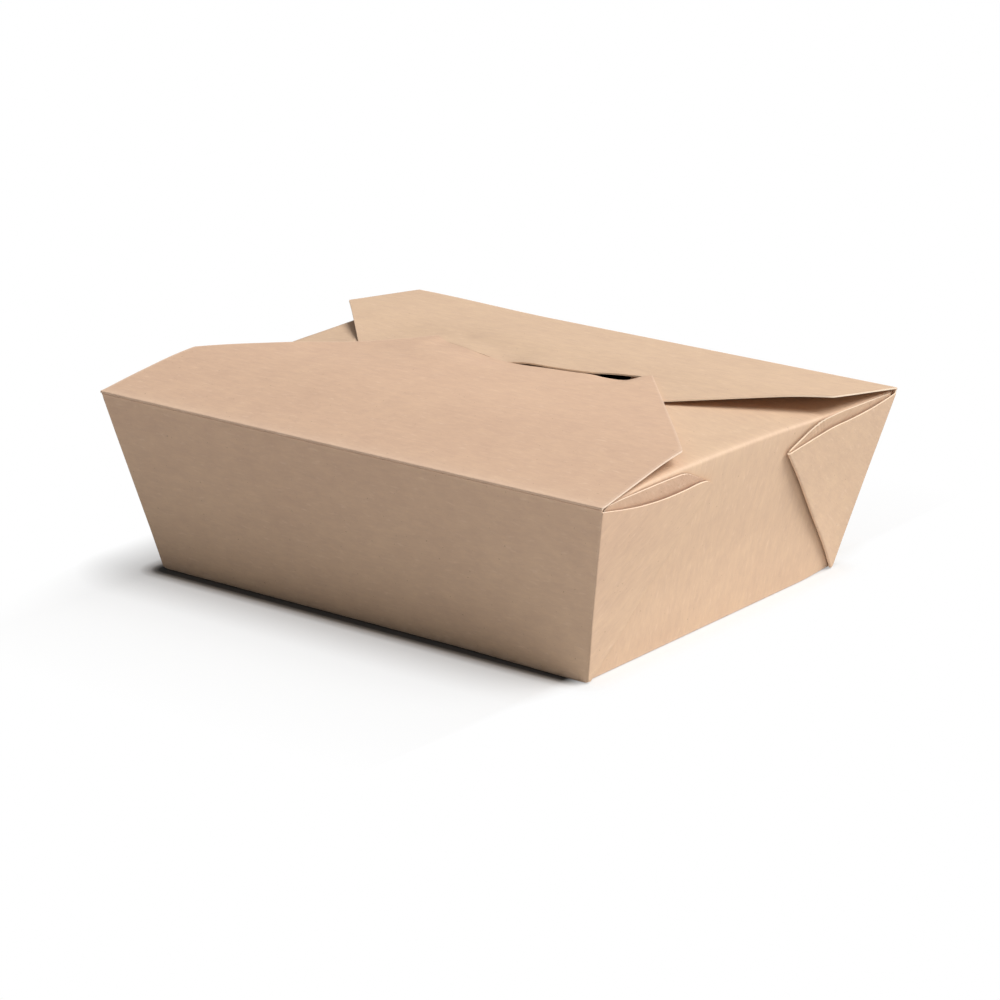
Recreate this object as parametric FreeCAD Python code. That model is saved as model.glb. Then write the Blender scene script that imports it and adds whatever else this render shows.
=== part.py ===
import FreeCAD, Part

import math
import os

# A folding takeaway box of kraft card, cut and creased from one flat sheet.
# Millimetres. The origin is on the floor, under the middle of the base.
# X runs along the long walls, Y from the front wall to the rear wall, Z up.
# The base, the walls, the corner webs, the end flaps and the rear flap are one
# folded piece. The front flap turns about its crease, so it is a piece of its own.

# The card, the air between plies folded flat, and between flaps that lap
CARD = 0.45
PLY_GAP = 0.15
LAP_GAP = 0.3

# The tray: outside sizes, and how far each wall leans out over the height
BASE_LENGTH = 150.0
BASE_WIDTH = 125.0
HEIGHT = 55.0
END_FLARE = 12.55
SIDE_FLARE = 12.5
BASE_FOLD_RADIUS = 0.9

# The corner webs, measured from the upper corner along the end wall and down it
WEB_REACH = 54.5
WEB_TIP_DROP = 8.4
WEB_NOSE_REACH = 51.0
WEB_NOSE_DROP = 6.0
WEB_EDGE_BOW = 2.1
WEB_SHOULDER_REACH = 37.0

# How far the left end wall has bowed in at its top, between its two webs
END_BOW = 8.6

# The creases at the top of the walls
CREASE_RADIUS = 0.5
CREASE_CLEARANCE = 0.06
CREASE_END_GAP = 0.3

# The end flaps, folded in first
END_FLAP_SIDE_GAP = 2.5
END_FLAP_REACH = 55.0
END_FLAP_TIP_WIDTH = 76.0
END_FLAP_RISE_ANGLE = 6.5
END_FLAP_CORNER_RADIUS = 8.0

# The rear flap, folded in second
REAR_RISE = 6.35
REAR_RISE_ANGLE = 8.7
REAR_BEND_RADIUS = 95.0
REAR_REACH = 83.0
REAR_SIDE_REACH = 36.0
REAR_TIP_WIDTH = 91.0

# The front flap, folded in last
FRONT_RISE_ANGLE = 10.5
FRONT_BEND_RADIUS = 150.0
FRONT_SIDE_REACH = 39.0
FRONT_SIDE_TAPER = 2.5
FLAP_CORNER_RADIUS = 1.5

# The curved slit of the rear flap, and the tongue that goes under it
SLIT_FROM_FRONT = 85.0
SLIT_RADIUS = 80.0
SLIT_SPAN = 78.0
SLIT_WIDTH = 1.8
TONGUE_ROOT_WIDTH = 47.0
TONGUE_TIP_WIDTH = 39.0
TONGUE_LENGTH = 14.0
TONGUE_CORNER_RADIUS = 7.0

# Sizes that follow from those above
END_SLANT = math.hypot(HEIGHT, END_FLARE) / HEIGHT
SIDE_SLANT = math.hypot(HEIGHT, SIDE_FLARE) / HEIGHT
LAP_STEP = CARD + LAP_GAP
TOP_LENGTH = BASE_LENGTH + 2 * END_FLARE
TOP_WIDTH = BASE_WIDTH + 2 * SIDE_FLARE
LONG_CREASE_HEIGHT = HEIGHT - CREASE_RADIUS
END_CREASE_HEIGHT = LONG_CREASE_HEIGHT - LAP_STEP
REAR_CROWN = LONG_CREASE_HEIGHT + REAR_RISE
FRONT_CROWN = REAR_CROWN + LAP_STEP
TONGUE_LEVEL = REAR_CROWN - LAP_STEP
ROLL_RADIUS = CARD + PLY_GAP / 2
WEB_DEPTH = 2 * (CARD + PLY_GAP)
CORNER_INSET = CARD + PLY_GAP + ROLL_RADIUS
SLIT_CENTRE_Y = SLIT_FROM_FRONT - TOP_WIDTH / 2 + SLIT_RADIUS
FLAP_HALF_LENGTH = TOP_LENGTH / 2 + WEB_DEPTH * END_SLANT - CREASE_END_GAP
BOW_FOLD_Y = TOP_WIDTH / 2 - SIDE_FLARE * (HEIGHT - END_CREASE_HEIGHT) / HEIGHT - WEB_REACH
BOW_TOP = END_CREASE_HEIGHT + END_BOW * math.tan(math.radians(END_FLAP_RISE_ANGLE))
BOW_FLARE = (END_FLARE * END_CREASE_HEIGHT / HEIGHT - END_BOW) * HEIGHT / BOW_TOP
BOW_SLANT = math.hypot(HEIGHT, BOW_FLARE) / HEIGHT
MARGIN = 10.0

Vector = FreeCAD.Vector


def frustum(half_length, half_width, low, high):
    """Solid between two levels, with sides that lean out as the walls do."""
    low_x = half_length + END_FLARE * low / HEIGHT
    high_x = half_length + END_FLARE * high / HEIGHT
    low_y = half_width + SIDE_FLARE * low / HEIGHT
    high_y = half_width + SIDE_FLARE * high / HEIGHT
    solid = Part.makeWedge(-low_x, low, -low_y, -high_y, -high_x, low_x, high, low_y, high_y, high_x)
    solid.rotate(Vector(0, 0, 0), Vector(1, 0, 0), 90)
    return solid


def polygon_face(points):
    """Flat face inside a closed outline of straight edges."""
    return Part.Face(Part.makePolygon(points + [points[0]]))


def rounded_prism(outline, corners, radius, low, high):
    """Upright prism on an XY outline, with the named corners rounded."""
    points = [Vector(x, y, low) for x, y in outline]
    solid = polygon_face(points).extrude(Vector(0, 0, high - low))
    edges = [edge for edge in solid.Edges if is_upright_at(edge, corners)]
    return solid.makeFillet(radius, edges)


def is_upright_at(edge, corners):
    """True for an upright edge that stands on one of the corners."""
    first = edge.Vertexes[0].Point
    last = edge.Vertexes[-1].Point
    if abs(first.z - last.z) < CARD or math.hypot(first.x - last.x, first.y - last.y) > CARD:
        return False
    return any(math.hypot(first.x - x, first.y - y) < CARD for x, y in corners)


def folded_half(half_base, flare, slant, top, run):
    """Half a base with the leaning wall folded up from it, run along X.

    The section goes along the floor from the middle, round the fold and up to +Y."""
    lean = math.atan2(flare, HEIGHT)
    turn = math.pi / 2 - lean
    tangent = BASE_FOLD_RADIUS * math.tan(turn / 2)
    centre_y = half_base - tangent
    reach = half_base + flare * top / HEIGHT

    def on_fold(radius, angle):
        return Vector(0, centre_y + radius * math.cos(angle), BASE_FOLD_RADIUS + radius * math.sin(angle))

    inner_radius = BASE_FOLD_RADIUS - CARD
    down = -math.pi / 2
    halfway = (down - lean) / 2
    wall_top = Vector(0, reach, top)
    inside_top = Vector(0, reach - CARD * slant, top)
    edges = [
        Part.makeLine(Vector(0, 0, 0), on_fold(BASE_FOLD_RADIUS, down)),
        Part.Arc(
            on_fold(BASE_FOLD_RADIUS, down), on_fold(BASE_FOLD_RADIUS, halfway), on_fold(BASE_FOLD_RADIUS, -lean)
        ).toShape(),
        Part.makeLine(on_fold(BASE_FOLD_RADIUS, -lean), wall_top),
        Part.makeLine(wall_top, inside_top),
        Part.makeLine(inside_top, on_fold(inner_radius, -lean)),
        Part.Arc(on_fold(inner_radius, -lean), on_fold(inner_radius, halfway), on_fold(inner_radius, down)).toShape(),
        Part.makeLine(on_fold(inner_radius, down), Vector(0, 0, CARD)),
        Part.makeLine(Vector(0, 0, CARD), Vector(0, 0, 0)),
    ]
    half = Part.Face(Part.Wire(edges)).extrude(Vector(run, 0, 0))
    half.translate(Vector(-run / 2, 0, 0))
    return half


def folded_channel(half_base, flare, slant, top, run):
    """A base with two leaning walls folded from one strip, run along X."""
    half = folded_half(half_base, flare, slant, top, run)
    return half.fuse(half.mirror(Vector(0, 0, 0), Vector(0, 1, 0))).removeSplitter()


def base_and_walls():
    """Base, long walls and end walls. The long walls run on past the end walls by the web's plies."""
    overrun = WEB_DEPTH * END_SLANT
    sides = folded_channel(BASE_WIDTH / 2, SIDE_FLARE, SIDE_SLANT, LONG_CREASE_HEIGHT, TOP_LENGTH + 2 * MARGIN)
    sides = sides.common(frustum(BASE_LENGTH / 2 + overrun, BASE_WIDTH, -1, HEIGHT))
    between_walls = BASE_WIDTH / 2 - CARD * SIDE_SLANT
    past_base = frustum(BASE_LENGTH / 2 + MARGIN, between_walls, -1, HEIGHT)
    past_base = past_base.cut(frustum(BASE_LENGTH / 2 - BASE_FOLD_RADIUS, BASE_WIDTH, -2, HEIGHT + 1))
    sides = sides.cut(past_base)
    end = folded_half(BASE_LENGTH / 2, END_FLARE, END_SLANT, END_CREASE_HEIGHT, TOP_WIDTH)
    end.rotate(Vector(0, 0, 0), Vector(0, 0, 1), -90)
    end = end.common(frustum(BASE_LENGTH, BASE_WIDTH / 2 - CORNER_INSET * SIDE_SLANT, -1, HEIGHT))
    return [sides, end] + bowed_end_wall()


def bowed_end_wall():
    """The left end wall: a middle panel that leans out less, and a side panel at each web."""
    middle = folded_half(BASE_LENGTH / 2, BOW_FLARE, BOW_SLANT, BOW_TOP, TOP_WIDTH)
    middle.rotate(Vector(0, 0, 0), Vector(0, 0, 1), 90)
    foot_y = BASE_WIDTH / 2 - CORNER_INSET * SIDE_SLANT
    outline = [(-foot_y, -1), (foot_y, -1), (foot_y, BASE_FOLD_RADIUS), (BOW_FOLD_Y, BOW_TOP + CARD)]
    outline += [(-BOW_FOLD_Y, BOW_TOP + CARD), (-foot_y, BASE_FOLD_RADIUS)]
    between = polygon_face([Vector(-BASE_LENGTH, y, z) for y, z in outline]).extrude(Vector(2 * BASE_LENGTH, 0, 0))
    slope = HEIGHT * END_SLANT
    top = slope * END_CREASE_HEIGHT / HEIGHT
    inset = Vector(CORNER_INSET * SIDE_SLANT, 0, 0)
    foot = Vector(BASE_WIDTH / 2, 0, 0) - inset
    corner = Vector(BASE_WIDTH / 2 + SIDE_FLARE * END_CREASE_HEIGHT / HEIGHT, top, 0) - inset
    fold_top = bow_fold_top()
    past_fold = Vector(CARD, 0, 0)
    panel = polygon_face([foot - past_fold, foot, corner, fold_top, fold_top - past_fold])
    panel = panel.extrude(Vector(0, 0, -CARD))
    panel = on_bowed_end(panel)
    return [middle.common(between), panel, panel.mirror(Vector(0, 0, 0), Vector(0, 1, 0))]


def bow_turn():
    """How far a web on the bowed end has turned about its corner, in radians."""
    point = end_wall_placement().inverse().multVec(
        Vector(BASE_LENGTH / 2 + BOW_FLARE * BOW_TOP / HEIGHT, BOW_FOLD_Y, BOW_TOP)
    )
    return math.atan2(-point.z, point.distanceToLine(*corner_line()))


def corner_line():
    """Foot and direction of the corner's edge, in the end wall's frame."""
    rise = END_CREASE_HEIGHT * END_SLANT
    return Vector(BASE_WIDTH / 2, 0, 0), Vector(SIDE_FLARE * END_CREASE_HEIGHT / HEIGHT, rise, 0)


def bow_fold_top():
    """Top of the bend beside a web of the bowed end, in the web's own flat frame."""
    foot, along = corner_line()
    point = end_wall_placement().inverse().multVec(
        Vector(BASE_LENGTH / 2 + BOW_FLARE * BOW_TOP / HEIGHT, BOW_FOLD_Y, BOW_TOP)
    )
    along.normalize()
    across = Vector(-along.y, along.x, 0)
    reach = point - foot
    return foot + along * reach.dot(along) + across * math.hypot(reach.dot(across), reach.z)


def on_bowed_end(piece):
    """Puts a piece, given in the end wall's frame at its +Y corner, on the bowed end at -X."""
    foot, along = corner_line()
    placed = piece.copy()
    placed.rotate(foot, along, -math.degrees(bow_turn()))
    placed.Placement = end_wall_placement().multiply(placed.Placement)
    return placed.mirror(Vector(0, 0, 0), Vector(1, 0, 0))


def end_wall_placement():
    """Frame on the outside of the end wall: x along it, y up its slope, z out of it."""
    slope = math.hypot(HEIGHT, END_FLARE)
    up = Vector(END_FLARE / slope, 0, HEIGHT / slope)
    out = Vector(HEIGHT / slope, 0, -END_FLARE / slope)
    matrix = FreeCAD.Matrix(
        0, up.x, out.x, BASE_LENGTH / 2,
        1, up.y, out.y, 0,
        0, up.z, out.z, 0,
        0, 0, 0, 1,
    )
    return FreeCAD.Placement(matrix)


def fold_roll(start, end, side, level):
    """Half-round fold between two plies, along a line of the end wall's frame."""
    along = end - start
    across = Vector(-along.y, along.x, 0).normalize() * side
    out = Vector(0, 0, 1)
    centre = start + out * level

    def point(radius, turn):
        return centre + across * (radius * math.cos(turn)) + out * (radius * math.sin(turn))

    quarter = math.pi / 2
    inner = PLY_GAP / 2
    edges = [
        Part.Arc(point(ROLL_RADIUS, -quarter), point(ROLL_RADIUS, 0), point(ROLL_RADIUS, quarter)).toShape(),
        Part.makeLine(point(ROLL_RADIUS, quarter), point(inner, quarter)),
        Part.Arc(point(inner, quarter), point(inner, 0), point(inner, -quarter)).toShape(),
        Part.makeLine(point(inner, -quarter), point(ROLL_RADIUS, -quarter)),
    ]
    return Part.Face(Part.Wire(edges)).extrude(along)


def corner_web():
    """Two-ply web at the +Y corner of the end wall, in the end wall's frame."""
    slope = math.hypot(HEIGHT, END_FLARE)
    top = slope * END_CREASE_HEIGHT / HEIGHT
    foot = Vector(BASE_WIDTH / 2, 0, 0)
    corner = Vector(BASE_WIDTH / 2 + SIDE_FLARE * END_CREASE_HEIGHT / HEIGHT, top, 0)
    tip = corner - Vector(WEB_REACH, WEB_TIP_DROP, 0)
    nose = corner - Vector(WEB_NOSE_REACH, WEB_NOSE_DROP, 0)
    middle = (corner + nose) * 0.5 - Vector(0, WEB_EDGE_BOW, 0)
    shoulder = corner - Vector(WEB_SHOULDER_REACH, 0, 0)
    outer_edges = [
        Part.makeLine(foot, corner),
        Part.Arc(corner, middle, nose).toShape(),
        Part.makeLine(nose, tip),
        Part.makeLine(tip, foot),
    ]
    out = Vector(0, 0, 1)
    outer = Part.Face(Part.Wire(outer_edges))
    outer.translate(out * (CARD + 2 * PLY_GAP))
    inner = polygon_face([foot, corner, shoulder, tip])
    inner.translate(out * PLY_GAP)
    inset = Vector(CORNER_INSET * math.hypot(corner.x - foot.x, top) / top, 0, 0)
    trim = frustum(BASE_LENGTH, BASE_WIDTH / 2 - CORNER_INSET * SIDE_SLANT, -1, HEIGHT)
    trim.Placement = end_wall_placement().inverse().multiply(trim.Placement)
    return [
        inner.extrude(out * CARD).common(trim),
        outer.extrude(out * CARD),
        fold_roll(foot, tip, 1, 1.5 * PLY_GAP + CARD),
        fold_roll(foot - inset, corner - inset, -1, PLY_GAP / 2),
    ]


def corner_webs():
    """The four webs, trimmed to the long walls and the floor."""
    envelope = frustum(BASE_LENGTH / 2 + MARGIN, BASE_WIDTH / 2, 0, END_CREASE_HEIGHT)
    webs = []
    for ply in corner_web():
        bowed = on_bowed_end(ply)
        ply.Placement = end_wall_placement().multiply(ply.Placement)
        for piece in (ply, bowed):
            piece = piece.common(envelope)
            webs += [piece, piece.mirror(Vector(0, 0, 0), Vector(0, 1, 0))]
    return webs


def flap_section(rise_angle, bend_radius, rise, reach):
    """Face of a flap's section: straight up from the crease, a bend, then level.

    X is the distance in from the crease and Z the height above it."""
    angle = math.radians(rise_angle)
    bend_rise = bend_radius * (1 - math.cos(angle))
    straight = (rise - bend_rise) / math.tan(angle)
    bend_start = Vector(straight, 0, rise - bend_rise)
    bend_end_x = straight + bend_radius * math.sin(angle)
    centre = Vector(bend_end_x, 0, rise - bend_radius)
    half = CARD / 2
    normal = Vector(-math.sin(angle), 0, math.cos(angle))
    half_turn = Vector(-math.sin(angle / 2), 0, math.cos(angle / 2))

    def side(offset):
        start = normal * offset
        first = bend_start + normal * offset
        mid = centre + half_turn * (bend_radius + offset)
        last = Vector(bend_end_x, 0, rise + offset)
        end = Vector(reach, 0, rise + offset)
        return start, first, mid, last, end

    upper = side(half)
    lower = side(-half)
    edges = [
        Part.makeLine(upper[0], upper[1]),
        Part.Arc(upper[1], upper[2], upper[3]).toShape(),
        Part.makeLine(upper[3], upper[4]),
        Part.makeLine(upper[4], lower[4]),
        Part.makeLine(lower[4], lower[3]),
        Part.Arc(lower[3], lower[2], lower[1]).toShape(),
        Part.makeLine(lower[1], lower[0]),
        Part.makeLine(lower[0], upper[0]),
    ]
    return Part.Face(Part.Wire(edges))


def long_crease_y():
    """Distance of a long crease's axis from the middle plane, in the thickness of the wall."""
    return BASE_WIDTH / 2 + SIDE_FLARE * LONG_CREASE_HEIGHT / HEIGHT - CARD * SIDE_SLANT / 2


def end_crease_x():
    """Distance of an end crease's axis from the middle plane."""
    return BASE_LENGTH / 2 + END_FLARE * END_CREASE_HEIGHT / HEIGHT - CARD * END_SLANT / 2


def long_flap(section, towards):
    """Sweeps a flap's section along a long crease. towards is 1 when the flap points to +Y."""
    sheet = section.extrude(Vector(0, 2 * FLAP_HALF_LENGTH, 0))
    sheet.rotate(Vector(0, 0, 0), Vector(0, 0, 1), 90 * towards)
    shift_x = FLAP_HALF_LENGTH * towards
    sheet.translate(Vector(shift_x, -towards * long_crease_y(), LONG_CREASE_HEIGHT))
    return sheet


def crease_bead(half_run):
    """Rounded outside of the fold along a long crease, at the origin."""
    return Part.makeCylinder(CREASE_RADIUS, 2 * half_run, Vector(-half_run, 0, 0), Vector(1, 0, 0))


def slit_cutter():
    """Curved slit that bows towards the front, with round ends."""
    centre = Vector(0, SLIT_CENTRE_Y, 0)
    half_turn = math.degrees(math.asin(SLIT_SPAN / 2 / SLIT_RADIUS))
    ring = Part.makeCylinder(SLIT_RADIUS + SLIT_WIDTH / 2, HEIGHT, centre, Vector(0, 0, 1), 2 * half_turn)
    ring = ring.cut(Part.makeCylinder(SLIT_RADIUS - SLIT_WIDTH / 2, HEIGHT, centre, Vector(0, 0, 1)))
    ring.rotate(centre, Vector(0, 0, 1), -90 - half_turn)
    end_drop = math.sqrt(SLIT_RADIUS ** 2 - SLIT_SPAN ** 2 / 4)
    for side in (-1, 1):
        end = Vector(side * SLIT_SPAN / 2, SLIT_CENTRE_Y - end_drop, 0)
        ring = ring.fuse(Part.makeCylinder(SLIT_WIDTH / 2, HEIGHT, end))
    ring.translate(Vector(0, 0, HEIGHT - MARGIN))
    return ring


def rear_flap():
    """The flap with the slit, from the rear crease to its free edge under the front flap."""
    sheet = long_flap(flap_section(REAR_RISE_ANGLE, REAR_BEND_RADIUS, REAR_RISE, REAR_REACH), -1)
    crease = long_crease_y()
    half = FLAP_HALF_LENGTH
    side_y = crease - REAR_SIDE_REACH
    tip_y = crease - REAR_REACH
    outline = [(-half, crease), (-half, side_y), (-REAR_TIP_WIDTH / 2, tip_y)]
    outline += [(REAR_TIP_WIDTH / 2, tip_y), (half, side_y), (half, crease)]
    plan = rounded_prism(outline, outline[1:5], FLAP_CORNER_RADIUS, HEIGHT - MARGIN, HEIGHT + MARGIN)
    flap = sheet.common(plan).cut(slit_cutter())
    bead = crease_bead(half)
    bead.translate(Vector(0, crease, LONG_CREASE_HEIGHT))
    return [flap, bead]


def end_flaps():
    """The two flaps on the end walls, which rise gently to carry the long flaps."""
    slope = math.tan(math.radians(END_FLAP_RISE_ANGLE))
    half = CARD / 2
    crease = end_crease_x()
    rise = END_FLAP_REACH * slope
    section = [Vector(0, 0, -half), Vector(0, 0, half)]
    section += [Vector(END_FLAP_REACH, 0, rise + half), Vector(END_FLAP_REACH, 0, rise - half)]
    sheet = polygon_face(section).extrude(Vector(0, TOP_WIDTH, 0))
    sheet.rotate(Vector(0, 0, 0), Vector(0, 0, 1), 180)
    sheet.translate(Vector(crease, TOP_WIDTH / 2, END_CREASE_HEIGHT))
    root = TOP_WIDTH / 2 - END_FLAP_SIDE_GAP
    tip_x = crease - END_FLAP_REACH
    tip = END_FLAP_TIP_WIDTH / 2
    outline = [(crease, -root), (tip_x, -tip), (tip_x, tip), (crease, root)]
    bow_x = crease - END_BOW
    bowed_outline = outline + [(bow_x, BOW_FOLD_Y), (bow_x, -BOW_FOLD_Y)]
    pieces = []
    for points, far_side in ((outline, 1), (bowed_outline, -1)):
        plan = rounded_prism(points, points[1:3], END_FLAP_CORNER_RADIUS, HEIGHT - MARGIN, HEIGHT + MARGIN)
        flap = sheet.common(plan)
        pieces.append(flap if far_side > 0 else flap.mirror(Vector(0, 0, 0), Vector(1, 0, 0)))
    pieces.append(crease_roll(Vector(crease, -root, END_CREASE_HEIGHT), Vector(crease, root, END_CREASE_HEIGHT)))
    bends = [
        Vector(-crease, -root, END_CREASE_HEIGHT),
        Vector(-bow_x, -BOW_FOLD_Y, BOW_TOP),
        Vector(-bow_x, BOW_FOLD_Y, BOW_TOP),
        Vector(-crease, root, END_CREASE_HEIGHT),
    ]
    for start, end in zip(bends, bends[1:]):
        pieces.append(crease_roll(start, end))
    pieces += [Part.makeSphere(CREASE_RADIUS, bend) for bend in bends[1:3]]
    return pieces


def crease_roll(start, end):
    """Rounded outside of an end crease, between two points."""
    along = end - start
    return Part.makeCylinder(CREASE_RADIUS, along.Length, start, along)


def tongue():
    """Tongue that steps down through the slit and lies under the rear flap."""
    step = FRONT_CROWN - TONGUE_LEVEL
    root = SLIT_RADIUS + SLIT_WIDTH
    line = [
        (root + step, FRONT_CROWN),
        (SLIT_RADIUS + step / 2, FRONT_CROWN),
        (SLIT_RADIUS - step / 2, TONGUE_LEVEL),
        (SLIT_RADIUS - TONGUE_LENGTH - MARGIN, TONGUE_LEVEL),
    ]
    half = CARD / 2
    mitre = half * math.tan(math.pi / 8)
    upper = [(line[0][0], line[0][1] + half), (line[1][0] - mitre, line[1][1] + half)]
    upper += [(line[2][0] - mitre, line[2][1] + half), (line[3][0], line[3][1] + half)]
    lower = [(line[0][0], line[0][1] - half), (line[1][0] + mitre, line[1][1] - half)]
    lower += [(line[2][0] + mitre, line[2][1] - half), (line[3][0], line[3][1] - half)]
    points = [Vector(0, SLIT_CENTRE_Y - radius, z) for radius, z in upper + lower[::-1]]
    half_turn = math.degrees(math.asin(TONGUE_ROOT_WIDTH / (SLIT_RADIUS - TONGUE_LENGTH - MARGIN) / 2)) + 2
    face = polygon_face(points)
    centre = Vector(0, SLIT_CENTRE_Y, 0)
    face.rotate(centre, Vector(0, 0, 1), -half_turn)
    band = face.revolve(centre, Vector(0, 0, 1), 2 * half_turn)
    slit_y = SLIT_CENTRE_Y - SLIT_RADIUS
    root_y = slit_y - root + SLIT_RADIUS - step
    tip_y = slit_y + TONGUE_LENGTH
    root_half = TONGUE_ROOT_WIDTH / 2
    tip_half = TONGUE_TIP_WIDTH / 2
    outline = [(-root_half, root_y), (root_half, root_y), (root_half, slit_y + step)]
    outline += [(tip_half, tip_y), (-tip_half, tip_y), (-root_half, slit_y + step)]
    plan = rounded_prism(outline, outline[3:5], TONGUE_CORNER_RADIUS, HEIGHT - MARGIN, HEIGHT + MARGIN)
    return band.common(plan)


def front_flap():
    """The flap that turns: its rounded crease, its tapering sheet and the tongue."""
    crease = long_crease_y()
    rise = FRONT_CROWN - LONG_CREASE_HEIGHT
    reach = SLIT_FROM_FRONT + SLIT_SPAN / 2
    sheet = long_flap(flap_section(FRONT_RISE_ANGLE, FRONT_BEND_RADIUS, rise, reach), 1)
    half = FLAP_HALF_LENGTH
    side_half = half - FRONT_SIDE_TAPER
    side_y = FRONT_SIDE_REACH - crease
    nose_half = SLIT_SPAN / 2
    edge_radius = SLIT_RADIUS + SLIT_WIDTH / 2
    nose_y = SLIT_CENTRE_Y - math.sqrt(edge_radius ** 2 - nose_half ** 2)
    outline = [(-half, -crease), (-side_half, side_y), (-nose_half, nose_y)]
    outline += [(nose_half, nose_y), (side_half, side_y), (half, -crease)]
    corners = [outline[1], outline[4]]
    plan = rounded_prism(outline, corners, FLAP_CORNER_RADIUS, HEIGHT - MARGIN, HEIGHT + MARGIN)
    clear_of_slit = Part.makeCylinder(edge_radius, HEIGHT, Vector(0, SLIT_CENTRE_Y, HEIGHT / 2))
    flap = sheet.common(plan).cut(clear_of_slit)
    bead = crease_bead(half)
    bead.translate(Vector(0, -crease, LONG_CREASE_HEIGHT))
    return flap.multiFuse([bead, tongue()]).removeSplitter()


def box_body():
    """The folded sheet, with a groove along the front wall's top for the front flap's crease."""
    pieces = base_and_walls() + corner_webs() + end_flaps() + rear_flap()
    body = pieces[0].multiFuse(pieces[1:])
    groove = Part.makeCylinder(
        CREASE_RADIUS + CREASE_CLEARANCE,
        TOP_LENGTH + 2 * MARGIN,
        Vector(-TOP_LENGTH / 2 - MARGIN, -long_crease_y(), LONG_CREASE_HEIGHT),
        Vector(1, 0, 0),
    )
    return body.cut(groove).removeSplitter()


def main():
    os.makedirs("parts", exist_ok=True)
    nodes = {"box_body": box_body(), "front_flap": front_flap()}
    for name, shape in nodes.items():
        shape.exportStep("parts/" + name + ".step")
        box = shape.BoundBox
        print(name, "valid", shape.isValid(), "solids", len(shape.Solids), "volume", round(shape.Volume, 1))
        print("  x", round(box.XMin, 2), round(box.XMax, 2), "y", round(box.YMin, 2), round(box.YMax, 2))
        print("  z", round(box.ZMin, 2), round(box.ZMax, 2))


main()
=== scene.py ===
import logging
import math
from dataclasses import dataclass, field
from enum import Enum, IntEnum
from typing import Callable, NamedTuple, Sequence, Union

import bmesh
import bpy
from mathutils import Matrix, Vector


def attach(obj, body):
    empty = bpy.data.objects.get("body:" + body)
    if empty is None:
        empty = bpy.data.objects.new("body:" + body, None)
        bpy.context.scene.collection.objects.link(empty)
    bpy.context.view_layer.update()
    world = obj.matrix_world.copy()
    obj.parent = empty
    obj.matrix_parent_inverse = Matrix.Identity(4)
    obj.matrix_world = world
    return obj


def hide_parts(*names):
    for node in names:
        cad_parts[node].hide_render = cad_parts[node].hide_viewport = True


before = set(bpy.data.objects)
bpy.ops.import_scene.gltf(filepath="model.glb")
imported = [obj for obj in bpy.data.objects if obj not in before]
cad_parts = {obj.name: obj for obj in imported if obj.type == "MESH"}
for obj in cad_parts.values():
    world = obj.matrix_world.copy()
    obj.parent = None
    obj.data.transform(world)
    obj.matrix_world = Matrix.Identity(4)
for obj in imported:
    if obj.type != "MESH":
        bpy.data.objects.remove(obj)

# A folding takeaway box of kraft card. The shapes are worked out in millimetres
# and written to the meshes in metres, in the part's own frame.

MM = 0.001
log = logging.getLogger("takeaway_box")
Pair = tuple[float, float]
Triple = tuple[float, float, float]
Stops = tuple[Pair, ...]
Colour = tuple[float, float, float, float]


class Place(NamedTuple):
    """A point of the card's middle surface.

    x, y and z are in the part's frame, s and t on the flat blank, all in millimetres.
    wear runs from 0 to 1 where the card is creased or rubbed, and along some folds and edges where a
    highlight is painted.
    """

    x: float
    y: float
    z: float
    s: float
    t: float
    wear_and_highlight: float = 0.0


Rows = list[list[Place]]


class Side(Enum):
    """Faces of the card, in the order of the material slots."""

    OUTSIDE = 0
    INSIDE = 1
    CUT = 2


class End(IntEnum):
    """The two ends of the box, by the sign of X."""

    LEFT = -1
    RIGHT = 1


class Wall(IntEnum):
    """The two long walls, by the sign of Y."""

    FRONT = -1
    REAR = 1


def ease(value: float) -> float:
    """Smooth step from 0 to 1, held at 0 below and at 1 above."""
    held = min(1.0, max(0.0, value))
    return held * held * (3.0 - 2.0 * held)


def spaced(start: float, end: float, steps: int) -> list[float]:
    """Evenly spaced numbers from start to end, with both of them."""
    return [start + (end - start) * i / steps for i in range(steps + 1)]


def along_curve(stops: Sequence[Pair], at: float) -> float:
    """Height of a smooth curve through a few stops.

    Args:
        stops: Pairs of place and height, in rising order of place.
        at: The place asked for.

    Returns:
        The height there, held level past the ends.
    """
    if at <= stops[0][0]:
        return stops[0][1]
    if at >= stops[-1][0]:
        return stops[-1][1]
    index = max(i for i in range(len(stops) - 1) if stops[i][0] <= at)
    left, right = stops[index], stops[index + 1]
    before = stops[max(0, index - 1)]
    after = stops[min(len(stops) - 1, index + 2)]
    span = right[0] - left[0]
    slope_in = (right[1] - before[1]) / (right[0] - before[0]) * span
    slope_out = (after[1] - left[1]) / (after[0] - left[0]) * span
    f = (at - left[0]) / span
    f2 = f * f
    f3 = f2 * f
    ends = (2 * f3 - 3 * f2 + 1) * left[1] + (3 * f2 - 2 * f3) * right[1]
    return ends + (f3 - 2 * f2 + f) * slope_in + (f3 - f2) * slope_out


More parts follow.
